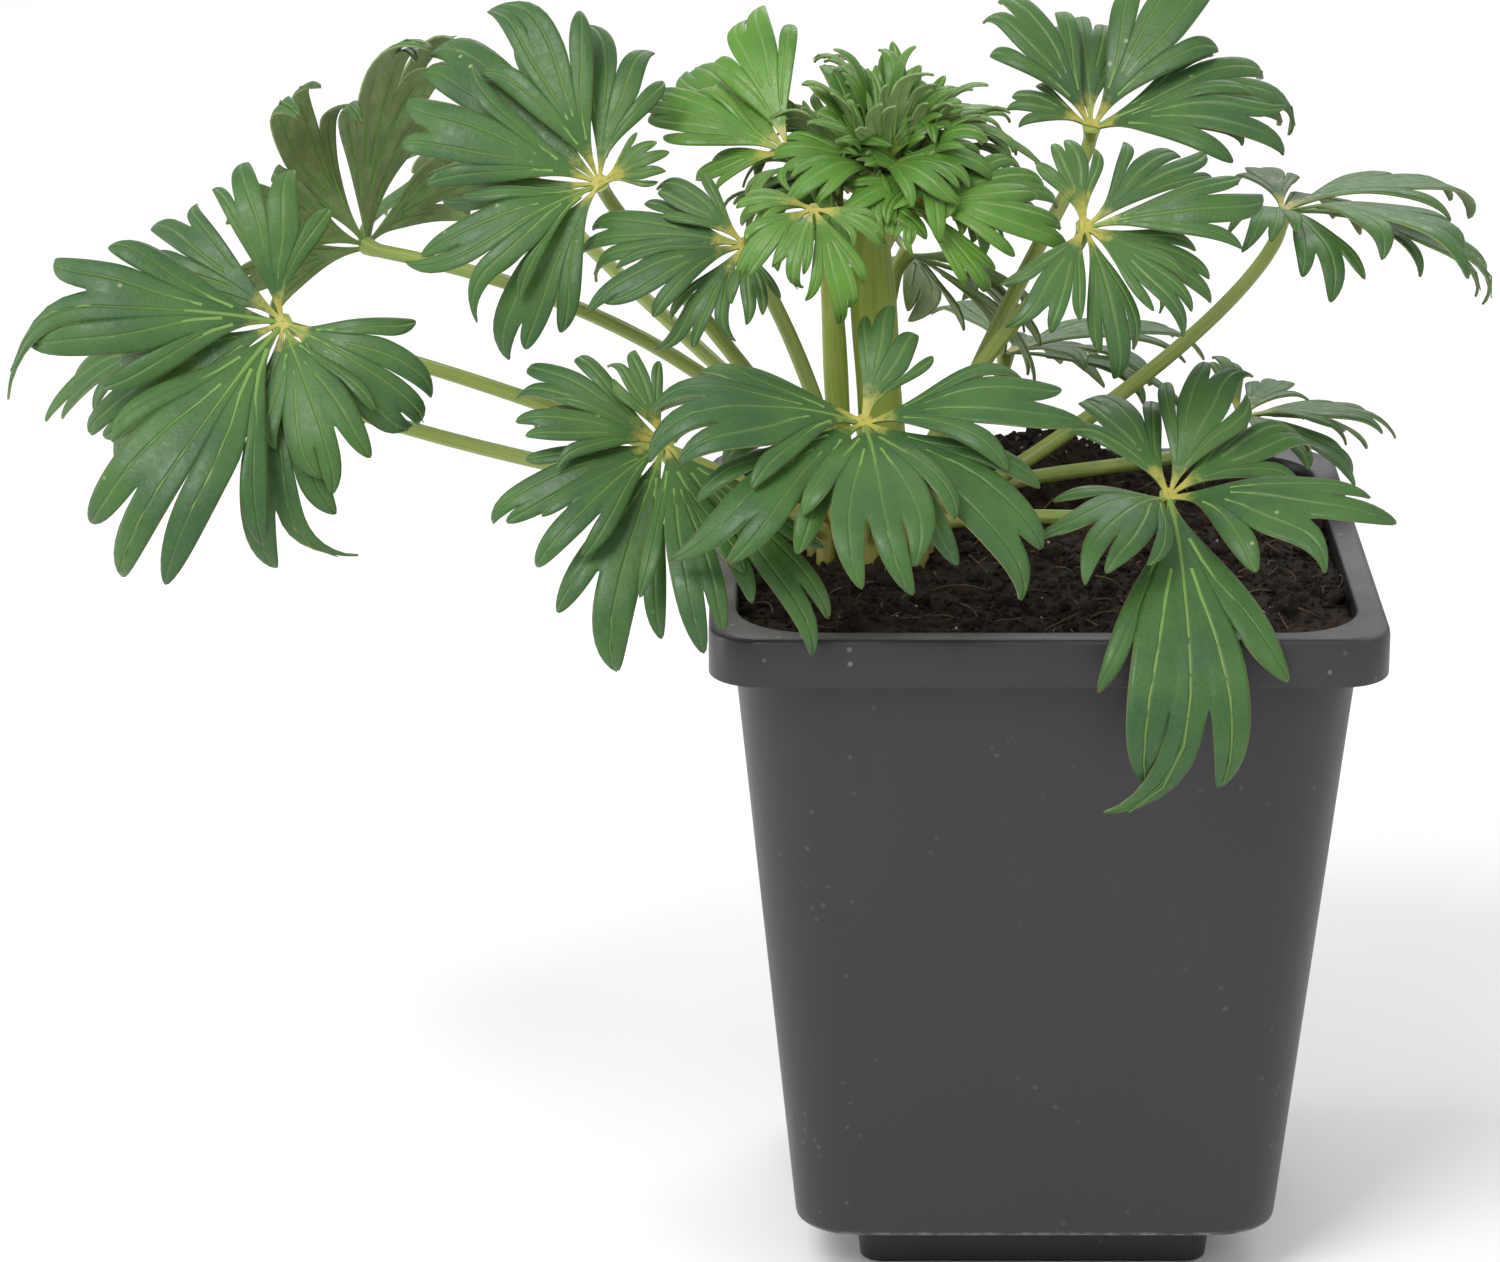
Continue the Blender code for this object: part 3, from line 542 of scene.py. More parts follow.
def lofted(rings):
    """Skins equal rings of points (mm) and closes both ends."""
    bm = bmesh.new()
    verts = [[bm.verts.new([c * MM for c in p]) for p in ring] for ring in rings]
    for low, high in zip(verts, verts[1:]):
        for i, a in enumerate(low):
            j = (i + 1) % len(low)
            bm.faces.new((a, low[j], high[j], high[i]))
    bm.faces.new(verts[0][::-1])
    bm.faces.new(verts[-1])
    bmesh.ops.recalc_face_normals(bm, faces=bm.faces)
    return bm


def polylines(name, lines, radii):
    """A mesh of open polylines (mm) with a radius and a share of the length at each point."""
    mesh = bpy.data.meshes.new(name)
    verts, edges, thick, along = [], [], [], []
    for line, widths in zip(lines, radii):
        first = len(verts)
        steps = np.linalg.norm(np.diff(line, axis=0), axis=1)
        share = np.concatenate([[0], np.cumsum(steps)]) / steps.sum()
        verts.extend(np.asarray(line) * MM)
        thick.extend(np.asarray(widths) * MM)
        along.extend(share)
        edges.extend((first + i, first + i + 1) for i in range(len(line) - 1))
    mesh.from_pydata([tuple(v) for v in verts], edges, [])
    for attribute, values in (("thickness", thick), ("along", along)):
        layer = mesh.attributes.new(attribute, 'FLOAT', 'POINT')
        layer.data.foreach_set("value", np.asarray(values, np.float32))
    return mesh


# ---------------------------------------------------------------- pot
def square_loop(half, radius, steps, side_steps=0):
    """A rounded square, counter-clockwise, in x and y."""
    points = []
    for corner in range(4):
        mid = pi / 4 + corner * pi / 2
        cx = np.sign(cos(mid)) * (half - radius)
        cy = np.sign(sin(mid)) * (half - radius)
        for k in range(steps + 1):
            a = corner * pi / 2 + k / steps * pi / 2
            points.append((cx + radius * cos(a), cy + radius * sin(a)))
        x, y = points[-1]
        a = corner * pi / 2 + pi
        for k in range(1, side_steps + 1):
            step = k / (side_steps + 1) * 2 * (half - radius)
            points.append((x + step * cos(a), y + step * sin(a)))
    return points


def body_half(z):
    """Half of the tapered body's outer width at a height."""
    rise = (z - STEP_Z) / (POT_HEIGHT - FLANGE - STEP_Z)
    return BODY_FOOT_HALF + (BODY_TOP_HALF - BODY_FOOT_HALF) * rise


def body_radius(z):
    """The body's corner radius at a height."""
    rise = (z - STEP_Z) / (POT_HEIGHT - FLANGE - STEP_Z)
    return BODY_FOOT_RADIUS + (BODY_TOP_RADIUS - BODY_FOOT_RADIUS) * rise


def rounded(profile, radii, steps=3):
    """Rounds the corners of a pot profile of (z, half, corner radius) stations."""
    made = []
    last = len(profile) - 1
    for i, here in enumerate(profile):
        here = np.array(here, float)
        bevel = radii.get(i, 0)
        if i in (0, last) or not bevel:
            made.append(here)
            continue
        ends = []
        for other in (profile[i - 1], profile[i + 1]):
            run = np.array(other, float) - here
            ends.append(here + run * min(.45, bevel / max(np.linalg.norm(run[:2]), 1e-6)))
        made.extend(bezier((ends[0], here, ends[1]), np.linspace(0, 1, steps + 1)))
    return made


def pot_profile():
    """Stations from the foot up the outside, over the rim and down the inside."""
    skirt = POT_HEIGHT - RIM_DEPTH
    under = POT_HEIGHT - FLANGE
    low = STEP_Z + WALL
    profile = [
        (0, FOOT_HALF - 2, FOOT_RADIUS), (0, FOOT_HALF, FOOT_RADIUS),
        (STEP_Z, FOOT_TOP_HALF, FOOT_RADIUS), (STEP_Z, BODY_FOOT_HALF, BODY_FOOT_RADIUS)]
    corners = {1: .6, 2: .4, 3: 1.4}
    for z in np.linspace(STEP_Z + 4, under - 3, 12):
        profile.append((z, body_half(z), body_radius(z)))
    corner = len(profile)
    profile += [
        (under, BODY_TOP_HALF, BODY_TOP_RADIUS),
        (under, RIM_HALF - WALL, RIM_RADIUS - WALL), (skirt, RIM_HALF - WALL, RIM_RADIUS - WALL),
        (skirt, RIM_HALF, RIM_RADIUS), (POT_HEIGHT, RIM_HALF, RIM_RADIUS),
        (POT_HEIGHT, BODY_TOP_HALF - WALL, BODY_TOP_RADIUS - WALL),
        (low, body_half(low) - WALL, BODY_FOOT_RADIUS - WALL),
        (low, FOOT_TOP_HALF - WALL, FOOT_RADIUS - WALL),
        (WALL, FOOT_HALF - WALL, FOOT_RADIUS - WALL)]
    for offset, bevel in enumerate((.6, .4, .3, .35, 1.1, .5, .8, .4)):
        corners[corner + offset] = bevel
    return rounded(profile, corners)


def drain_cutter(name):
    """Blocks that cut the drainage slots of the step and the foot."""
    bm = bmesh.new()
    slots = []
    for turn in range(4):
        side = turn * pi / 2
        corner = side + pi / 4
        slots.append((CORNER_DRAIN, corner, corner + pi / 2, STEP_Z + WALL / 2))
        slots.append((SIDE_DRAIN, side, side + pi / 2, STEP_Z + WALL / 2))
        slots.append((FOOT_DRAIN, side, side, WALL / 2))
    for (distance, length), bearing, angle, z in slots:
        for v in bmesh.ops.create_cube(bm, size=1)["verts"]:
            lx = v.co.x * length
            ly = v.co.y * DRAIN_WIDTH
            v.co = ((distance * cos(bearing) + lx * cos(angle) - ly * sin(angle)) * MM,
                    (distance * sin(bearing) + lx * sin(angle) + ly * cos(angle)) * MM,
                    (z + v.co.z * 4) * MM)
    bmesh.ops.recalc_face_normals(bm, faces=bm.faces)
    return new_piece(name, bm)


def pot_material(settings):
    """Dark moulded plastic with faint bands and scuffs, and dust on the rim and at the step."""
    m = Material("moulded_pot_plastic", settings.plastic, .4)
    height = m.add("ShaderNodeSeparateXYZ", {"Vector": m.place}).outputs["Z"]
    bands = m.noise(9, 2, .4, stretch=(1, 1, .08))
    scuffs = m.noise(60, 5, .6, stretch=(1, 1, .35))
    grain = m.noise(1500, 2, .5)
    plastic = tuple(settings.plastic)
    colour = m.mix(m.ramp(bands, .3, .7), plastic, tuple(c * 1.22 for c in plastic))
    colour = m.mix(m.ramp(scuffs, .62, .8, 0, .25), colour, tuple(c * 1.7 for c in plastic))
    dots = m.ramp(m.cells(330), .10, .17, 1, 0)
    scattered = m.ramp(m.noise(45, 2, .6), .52, .66)
    on_rim = m.ramp(height, (POT_HEIGHT - RIM_DEPTH) * MM, (POT_HEIGHT - 1) * MM, .12, 1)
    dots = m.maths('MULTIPLY', m.maths('MULTIPLY', dots, scattered), on_rim)
    at_step = m.ramp(m.maths('ABSOLUTE', m.maths('SUBTRACT', height, STEP_Z * MM)), .0003, .0012, 1, 0)
    film = m.maths('MULTIPLY', at_step, m.ramp(m.noise(300, 4, .7), .40, .62, 0, .7))
    dusty = m.maths('MAXIMUM', dots, film)
    colour = m.mix(dusty, colour, tuple(settings.dust))
    roughness = m.ramp(scuffs, .3, .75, .36, .50)
    roughness = m.maths('MAXIMUM', roughness, m.maths('MULTIPLY', dusty, .8))
    normal = m.bump(bands, .0006, .5)
    normal = m.bump(grain, .00004, .6, normal)
    return m.finish(colour, roughness, normal, Specular_IOR_Level=.45)


class MONKSHOOD_OT_pot(bpy.types.Operator):
    """Build the square nursery pot, with its rim, foot and drainage slots"""
    bl_idname = "monkshood.pot"
    bl_label = "Nursery Pot"

    def execute(self, context):
        settings = context.scene.monkshood_pot
        rings = [[(x, y, z) for x, y in square_loop(half, radius, settings.corner_steps, 4)]
                 for z, half, radius in pot_profile()]
        pot = new_piece("square_pot", lofted(rings), pot_material(settings))
        cutter = drain_cutter("pot_drains")
        cut = pot.modifiers.new("drains", 'BOOLEAN')
        cut.operation = 'DIFFERENCE'
        cut.solver = 'EXACT'
        cut.object = cutter
        baked(pot)
        bpy.data.objects.remove(cutter)
        pot.data.shade_smooth()
        pot.data.set_sharp_from_angle(angle=radians(38))
        keep(pot, "nursery_pot_plastic", "nursery_pot")
        return {'FINISHED'}


# ---------------------------------------------------------------- soil and rootstock
def soil_height(x, y):
    """The soil's surface: the heap at the back, low lumps, and level at the wall."""
    mx, my, rise, spread = MOUND
    heap = rise * np.exp(-((x - mx) ** 2 + ((y - my) * 1.1) ** 2) / (2 * spread ** 2))
    lumps = .7 * np.sin(x * .31 + 1) * np.cos(y * .27) + .4 * np.sin(x * .83 + y * .61)
    edge = np.maximum(abs(x), abs(y)) / BODY_TOP_HALF
    return SOIL_Z + (heap + lumps + 1.2 * (1 - edge)) * np.minimum(1, (1 - edge) * 6)


def soil_mesh():
    """The soil's upper surface on rounded-square rings, closed by a block below."""
    steps = 10
    side_steps = 14
    top = SOIL_Z - .5
    slack = WALL + .3
    rings = []
    for z in (STEP_Z + slack, top - 3, top):
        outline = np.array(square_loop(body_half(z) - slack, body_radius(z) - slack,
                                       steps, side_steps))
        rings.append([(x, y, z) for x, y in outline])
    for share in np.linspace(.985, .03, 34):
        rings.append([(x * share, y * share, soil_height(x * share, y * share))
                      for x, y in outline])
    return lofted(rings)


def soil_material(settings):
    peat = tuple(settings.peat)
    m = Material("moist_peat", settings.peat, .95)
    fine = m.noise(900, 5, .65)
    broad = m.noise(120, 3, .6)
    grains = m.cells(700)
    colour = m.mix(m.ramp(broad, .35, .7), peat, tuple(c * 2.1 for c in peat))
    colour = m.mix(m.ramp(fine, .58, .75, 0, .55), colour, (.085, .055, .034))
    normal = m.bump(fine, .0006, .9)
    normal = m.bump(grains, .0005, .6, normal)
    return m.finish(colour, m.ramp(fine, .3, .7, .82, 1), normal, Specular_IOR_Level=.25)


def plain_material(name, colour, second, scale, roughness):
    m = Material(name, colour, roughness)
    mixed = m.mix(m.ramp(m.noise(scale, 4, .6), .35, .65), colour, second)
    return m.finish(mixed, None, m.bump(m.noise(scale * 6, 3, .6), .0002, .5))


def top_points(tree, density, seed, slope=.35):
    """Random points on the upper faces of the soil."""
    up = tree.add("ShaderNodeSeparateXYZ",
                  {"Vector": tree.add("GeometryNodeInputNormal").outputs[0]}).outputs["Z"]
    where = tree.maths('GREATER_THAN', up, slope)
    spread = tree.add("GeometryNodeDistributePointsOnFaces",
                      {"Mesh": tree.given["Geometry"], "Selection": where,
                       "Density": density, "Seed": seed})
    return spread.outputs["Points"]


def crumb_tree(name, material, subdivisions, size, seed):
    """Irregular crumbs strewn over the soil."""
    tree = Growth(name, {"Density": 9000.0, "Size": size, "Roughness": .42, "Seed": seed})
    ball = tree.add("GeometryNodeMeshIcoSphere", {"Radius": 1.0, "Subdivisions": subdivisions})
    wobble = tree.add("ShaderNodeTexNoise", {"Scale": 1.1, "Detail": 3.0, "Roughness": .65})
    centred = tree.add("ShaderNodeVectorMath", {0: wobble.outputs["Color"], 1: (.5, .5, .5)},
                       operation='SUBTRACT')
    push = tree.scaled(centred.outputs[0], tree.maths('MULTIPLY', tree.given["Roughness"], 3.0))
    crumb = tree.add("GeometryNodeSetPosition", {"Geometry": ball.outputs["Mesh"],
                                                 "Offset": push})
    scale = tree.random((.35, .35, .22), (1.3, 1.0, .8), tree.given["Seed"], vector=True)
    turn = tree.random((0, 0, 0), (FULL_TURN,) * 3, seed + 5, vector=True)
    points = top_points(tree, tree.given["Density"], tree.given["Seed"])
    strewn = tree.add("GeometryNodeInstanceOnPoints",
                      {"Points": points, "Instance": crumb.outputs[0], "Rotation": turn,
                       "Scale": tree.scaled(scale, tree.given["Size"])})
    return tree.close(strewn.outputs[0], material, smooth=False)


def fibre_tree(material):
    """Thin bent fibres lying over the soil."""
    tree = Growth("peat_fibres", {"Density": 9000.0, "Length": 7 * MM, "Radius": .16 * MM,
                                  "Seed": 11})
    arc = tree.add("GeometryNodeCurveQuadraticBezier",
                   {"Resolution": 7, "Start": (-.5, 0, 0), "Middle": (.05, .28, .22), "End": (.5, 0, 0)})
    lie = tree.random((-.3, -.45, 0), (.3, .45, FULL_TURN), 21, vector=True)
    size = tree.maths('MULTIPLY', tree.random(.35, 1.5, 31), tree.given["Length"])
    points = top_points(tree, tree.given["Density"], tree.given["Seed"], .5)
    strewn = tree.add("GeometryNodeInstanceOnPoints",
                      {"Points": points, "Instance": arc.outputs[0], "Rotation": lie, "Scale": size})
    real = tree.add("GeometryNodeRealizeInstances", {"Geometry": strewn.outputs[0]})
    section = tree.circle(4, tree.given["Radius"])
    return tree.close(tree.tube(real.outputs[0], section), material)


def root_rings():
    """Knobbly rings of the tuber, from its lower end up."""
    x, y = CROWN
    low = ROOT_LOW.z / MM
    reach = (ROOT_HIGH.x - ROOT_LOW.x) / 2 / MM
    rings = []
    rng = np.random.RandomState(4)
    for share, radius in ((0, .12), (.08, .34), (.2, .58), (.42, .86), (.66, 1), (.82, .95),
                          (.93, .84), (1, .66), (1.02, .3)):
        z = low + share * (ROOT_TOP - low)
        ring = []
        for k in range(28):
            a = k * pi / 14
            r = reach * radius * (1 + .05 * sin(3 * a + share * 5) + rng.normal(0, .018))
            ring.append((x + r * cos(a), y + .85 * r * sin(a), z + rng.normal(0, .12)))
        rings.append(ring)
    return rings


class MONKSHOOD_OT_soil(bpy.types.Operator):
    """Build the potting soil with its crumbs, lumps, fibres and white specks"""
    bl_idname = "monkshood.soil"
    bl_label = "Potting Soil"

    def execute(self, context):
        settings = context.scene.monkshood_soil
        peat = soil_material(settings)
        soil = new_piece("peat_block", soil_mesh(), peat)
        soil.data.shade_smooth()
        bark = plain_material("bark_fibre", (.060, .036, .020), (.16, .10, .055), 260, .85)
        white = plain_material("white_mineral", (.62, .60, .55), (.40, .38, .34), 800, .7)
        strewn = (
            ("peat_crumbs", crumb_tree("crumbs", peat, 1, .95 * MM, 3), settings.crumbs),
            ("peat_lumps", crumb_tree("lumps", peat, 2, 2.2 * MM, 7), settings.lumps),
            ("white_specks", crumb_tree("specks", white, 1, .38 * MM, 13), settings.specks),
            ("bark_fibres", fibre_tree(bark), settings.fibres),
        )
        for name, tree, density in strewn:
            piece = link_piece(name, soil.data.copy())
            keep(grow(piece, tree, {"Density": density}), "potting_soil", "potting_soil")
        keep(soil, "potting_soil", "potting_soil")
        return {'FINISHED'}


class MONKSHOOD_OT_rootstock(bpy.types.Operator):
    """Build the rootstock that all the growth comes from"""
    bl_idname = "monkshood.rootstock"
    bl_label = "Rootstock"

    def execute(self, context):
        cork = plain_material("rootstock_cork", (.15, .085, .045), (.30, .22, .10), 240, .85)
        root = new_piece("tuber", lofted(root_rings()), cork)
        root.data.shade_smooth()
        keep(root, "rootstock", "rootstock")
        return {'FINISHED'}


# ---------------------------------------------------------------- shoots and stalks
def stalk_material(name, foot, body, gloss):
    """A ribbed green skin, paler at the foot, with darker streaks and yellow patches."""
    m = Material(name, body, gloss)
    along = m.attribute("along")
    around = m.attribute("around")
    streak = m.add("ShaderNodeCombineXYZ", {"X": m.maths('MULTIPLY', around, 9.0),
                                            "Y": m.maths('MULTIPLY', along, 2.5)})
    lines = m.add("ShaderNodeTexNoise", {"Vector": streak.outputs[0], "Scale": 2.5,
                                         "Detail": 3.0}).outputs["Fac"]
    patches = m.noise(90, 3, .5)
    colour = m.mix(m.ramp(along, .02, .45), tuple(foot), tuple(body))
    colour = m.mix(m.ramp(lines, .45, .7, 0, .45), colour, tuple(c * .62 for c in body))
    colour = m.mix(m.ramp(patches, .55, .75, 0, .3), colour, (.52, .50, .20))
    normal = m.bump(lines, .0003, .6)
    normal = m.bump(m.noise(1400, 2, .5), .00004, .5, normal)
    return m.finish(colour, m.ramp(patches, .3, .7, gloss - .08, gloss + .08), normal,
                    Subsurface_Weight=.12, Subsurface_Scale=.002)


def stalk_tree(name, material, sides, ribs, depth):
    """A ribbed stalk along each polyline, as thick as its points say."""
    tree = Growth(name, {"Sides": sides, "Ribs": float(ribs), "Rib depth": depth,
                         "Spacing": 1.1 * MM})
    line = tree.add("GeometryNodeMeshToCurve", {"Mesh": tree.given["Geometry"]}).outputs[0]
    line = tree.add("GeometryNodeResampleCurve", {"Curve": line, "Length": tree.given["Spacing"]},
                    mode='LENGTH').outputs[0]
    ring = tree.circle(tree.given["Sides"], 1.0)
    turn = tree.maths('DIVIDE', tree.add("GeometryNodeInputIndex").outputs[0], tree.given["Sides"])
    ring = tree.store(ring, "around", turn)
    wave = tree.maths('COSINE', tree.maths('MULTIPLY', tree.maths('MULTIPLY', turn, 2 * pi),
                                           tree.given["Ribs"]))
    swell = tree.maths('ADD', 1.0, tree.maths('MULTIPLY', wave, tree.given["Rib depth"]))
    place = tree.add("GeometryNodeInputPosition").outputs[0]
    ring = tree.add("GeometryNodeSetPosition", {"Geometry": ring,
                                                "Position": tree.scaled(place, swell)}).outputs[0]
    return tree.close(tree.tube(line, ring, tree.named("thickness")), material)


def leaf_frame(facing, slope):
    """Downhill, across and outward directions of a blade."""
    a = radians(facing)
    t = radians(slope)
    level = np.array([cos(a), sin(a), 0])
    outward = np.array([0, 0, cos(t)]) + sin(t) * level
    downhill = cos(t) * level - np.array([0, 0, sin(t)])
    return downhill, np.cross(outward, downhill), outward


def stalk_path(start, bows, spec, sink):
    """From below the start, through the bows, square into the blade's hub."""
    outward = leaf_frame(spec[1], spec[2])[2]
    end = np.array(spec[0], float) - outward * BLADE * .6
    knee = end - outward * 2
    rise = np.array([0, 0, 5.0])
    start = np.array(start, float)
    points = [start + rise * .3, start + rise, *bows, knee - outward * 4, knee]
    return np.vstack([start - rise * sink, bezier(points, np.linspace(0, 1, 26)), end])


class MONKSHOOD_OT_shoots(bpy.types.Operator):
    """Build the thick main shoot and the thinner side shoot"""
    bl_idname = "monkshood.shoots"
    bl_label = "Shoots"

    def execute(self, context):
        stems = context.scene.monkshood_stems
        skin = stalk_material("shoot_skin", stems.foot, stems.shoot, .42)
        tree = stalk_tree("shoot", skin, 30, 7, .035)
        for name, (points, radii) in SHOOTS.items():
            t = np.linspace(0, 1, 30)
            path = bezier([(CROWN[0] + x, CROWN[1] + y, z) for x, y, z in points], t)
            widths = np.interp(t, np.linspace(0, 1, len(radii)), radii)
            # slow waves along the shoot, and a swelling under its tip
            widths *= 1 + .05 * np.sin(t * 13) + .10 * np.exp(-((t - .93) / .05) ** 2)
            piece = link_piece(name + "_skin", polylines(name, [path], [widths]))
            keep(grow(piece, tree), "stem_green", name)
        return {'FINISHED'}


class MONKSHOOD_OT_stalks(bpy.types.Operator):
    """Build the stalk of every grown leaf and of the larger young leaves"""
    bl_idname = "monkshood.stalks"
    bl_label = "Leaf Stalks"

    def execute(self, context):
        stems = context.scene.monkshood_stems
        skin = stalk_material("stalk_skin", stems.foot, stems.stalk, .45)
        tree = stalk_tree("stalk", skin, 18, 6, .05)
        thick = stems.petiole_radius / MM
        thin = stems.stalk_radius / MM
        for name, ((dx, dy), bow_1, bow_2) in PETIOLES.items():
            start = (CROWN[0] + dx, CROWN[1] + dy, ROOT_TOP)
            path = stalk_path(start, (bow_1, bow_2), GROWN[name], .8)
            widths = thick * np.interp(np.linspace(0, 1, len(path)), (0, .06, .2, .93, 1),
                                       (1.2, 1.15, 1, .82, 1.15))
            piece = link_piece("stalk_" + name, polylines(name, [path], [widths]))
            keep(grow(piece, tree), "petiole_green", "petiole_" + name)
        for name, (start, bow) in STALKS.items():
            path = stalk_path(start, (bow,), YOUNG[name], .3)
            widths = np.linspace(thin * 1.2, thin * .9, len(path))
            piece = link_piece("young_stalk_" + name, polylines(name, [path], [widths]))
            keep(grow(piece, tree), "petiole_green", "stalk_young_" + name)
        return {'FINISHED'}


# ---------------------------------------------------------------- blades
def free_edge(start, tip, side, plump, steps):
    """From a notch to a finger end, bulging to one side: +1 right, -1 left."""
    run = tip - start
    across = unit(np.array([run[1], -run[0]])) * side * plump
    return bezier([start, start + run * .3 + across, start + run * .74 + across * 1.6, tip],
                  np.linspace(0, 1, steps + 1) ** .9)


def lobe_fingers(pattern, width, foot, rng):
    """Left and right borders of each finger, shared with its neighbours up to the notch."""
    tips = [np.array([x * width + rng.normal(0, END_ASIDE), y + rng.normal(*END_ALONG)])
            for x, y in pattern["tips"]]
    notches = [np.array([x * width, y + rng.normal(0, NOTCH_ALONG)])
               for x, y in pattern["notches"]]
    base = np.linspace(-foot, foot, len(tips) + 1)
    borders = []
    for j, notch in enumerate(notches):
        k = int(np.clip(round(FINGER_ROWS * notch[1] / .95), 1, FINGER_ROWS - 1))
        x = base[j + 1]
        shared = bezier([(x, 0), (x + .12 * (notch[0] - x), .5 * notch[1]), notch],
                        np.linspace(0, 1, k + 1))
        edges = []
        for tip, side in ((tips[j], 1), (tips[j + 1], -1)):
            plump = .045 * (np.linalg.norm(tip - notch) * width) ** .5
            free = free_edge(notch, tip, side, plump, FINGER_ROWS - k)
            edges.append(np.vstack([shared, free[1:]]))
        borders.append((k, edges))

    def outer(side, tip):
        x = abs(tip[0])
        return bezier([(side * foot, 0), (side * (foot + .004), .15),
                       (side * (x * .35 + .02), .40 * tip[1]), (side * (x + .03), .72 * tip[1]),
                       (side * x, tip[1])], np.linspace(0, 1, FINGER_ROWS + 1) ** .95)

    fingers = []
    last = len(tips) - 1
    for j, tip in enumerate(tips):
        left = borders[j - 1][1][1] if j else outer(-1, tip)
        right = borders[j][1][0] if j < last else outer(1, tip)
        k_left = borders[j - 1][0] if j else 0
        k_right = borders[j][0] if j < last else 0
        lean = np.sign(j - last / 2) * min(1, abs(j - last / 2))
        fingers.append((left, right, k_left, k_right, tip, lean))
    return fingers


def finger_sheet(finger, ripple):
    """Grid of flat points with heights, and the distance of each from the finger's vein."""
    left, right, k_left, k_right, tip, lean = finger
    notch = max(k_left, k_right)
    rows = np.arange(FINGER_ROWS + 1)
    half = np.linalg.norm(right - left, axis=1) / 2
    slide = np.clip(rows / max(notch, 1), 0, 1)
    vein = .5 - lean * VEIN_LEAN * (1 - slide ** 1.3)
    free = np.clip((rows - notch * .8) / (FINGER_ROWS - notch * .8), 0, 1) ** .6
    fed = (rows < notch * BRANCHING) & (abs(lean) > SIDE_FINGER)
    unbranched = np.where(fed, UNBRANCHED, 0)
    flat, height, away, margin = [], [], [], []
    for c in FINGER_COLUMNS:
        share = vein * (1 + c) if c < 0 else vein + (1 - vein) * c
        line = left + (right - left) * share[:, None]
        wave = np.sin(line[:, 1] * 11 + ripple) * .010 + np.sin(line[:, 0] * 17 + ripple * 2) * .006
        flat.append(line)
        crown = FINGER_CROWN * half * (1 - c * c)
        groove = FINGER_GROOVE * half * np.exp(-(c / .2) ** 2)
        height.append((crown - groove) * free + wave * slide)
        side = vein if c < 0 else 1 - vein
        away.append(abs(c) * side * 2 * half + unbranched)
        k = k_left if c < 0 else k_right
        margin.append(((abs(c) == 1) & (rows > k)).astype(float))
    return np.array(flat), np.array(height), np.array(away), np.array(margin), notch


def bent_line(angle, steps):
    """Shares of a unit line's length, and how far it runs along and aside as it turns by angle."""
    s = np.linspace(0, 1, steps + 1)
    turned = angle((s[1:] + s[:-1]) / 2)
    along, aside = (np.concatenate([[0], np.cumsum(part(turned))]) / steps for part in (np.cos, np.sin))
    return s, along, aside


def curled(flat, height, finger, turn, hook):
    """Rolls the free end of a finger down through turn and swings its tip aside by hook."""
    left, right, k_left, k_right, tip = finger[:5]
    foot = (left[k_left or k_right] + right[k_right or k_left]) / 2
    reach = np.linalg.norm(tip - foot)
    axis = (tip - foot) / reach
    start = max((left[k_left or k_right] - foot) @ axis, (right[k_right or k_left] - foot) @ axis, 0)
    reach = max(reach - start, .02)
    s, along, drop = bent_line(lambda middle: turn * middle ** CURL_POWER, 32)
    a = (flat - foot) @ axis
    q = np.clip((a - start) / reach, 0, 1)
    lean = turn * q ** CURL_POWER
    free = (a > start)[..., None]
    slip = (np.interp(q, s, along) * reach + start - a + height * np.sin(lean))[..., None] * axis
    slip = slip + (hook * reach * q ** 2.5)[..., None] * np.array([axis[1], -axis[0]])
    out = flat + np.where(free, slip, 0)
    z = np.where(free[..., 0], height * np.cos(lean) - np.interp(q, s, drop) * reach, height)
    return np.concatenate([out, z[..., None]], axis=-1)


def arched(points, lift, droop, sway):
    """Bends a flat unit lobe: it rises by lift at the hub and falls by droop to its end."""
    s, out, up = bent_line(lambda middle: radians(lift) - radians(droop) * middle ** 1.25, 40)
    x, y, z = points[..., 0], points[..., 1], points[..., 2]
    yc = np.clip(y, 0, 1)
    a = radians(lift) - radians(droop) * yc ** 1.25
    z = z + CUP * x * x
    x = x + sway * yc ** 2
    return np.stack([np.interp(yc, s, out) + (y - yc) * np.cos(a) - z * np.sin(a), -x,
                     np.interp(yc, s, up) + (y - yc) * np.sin(a) + z * np.cos(a)], axis=-1)


def from_widest_gap(lobes):
    """The lobes in order round the hub, starting after the widest gap."""
    lobes = sorted(lobes, key=lambda lobe: lobe[0] % 360)
    gaps = [(lobe[0] - lobes[i - 1][0]) % 360 for i, lobe in enumerate(lobes)]
    first = gaps.index(max(gaps))
    return lobes[first:] + lobes[:first]


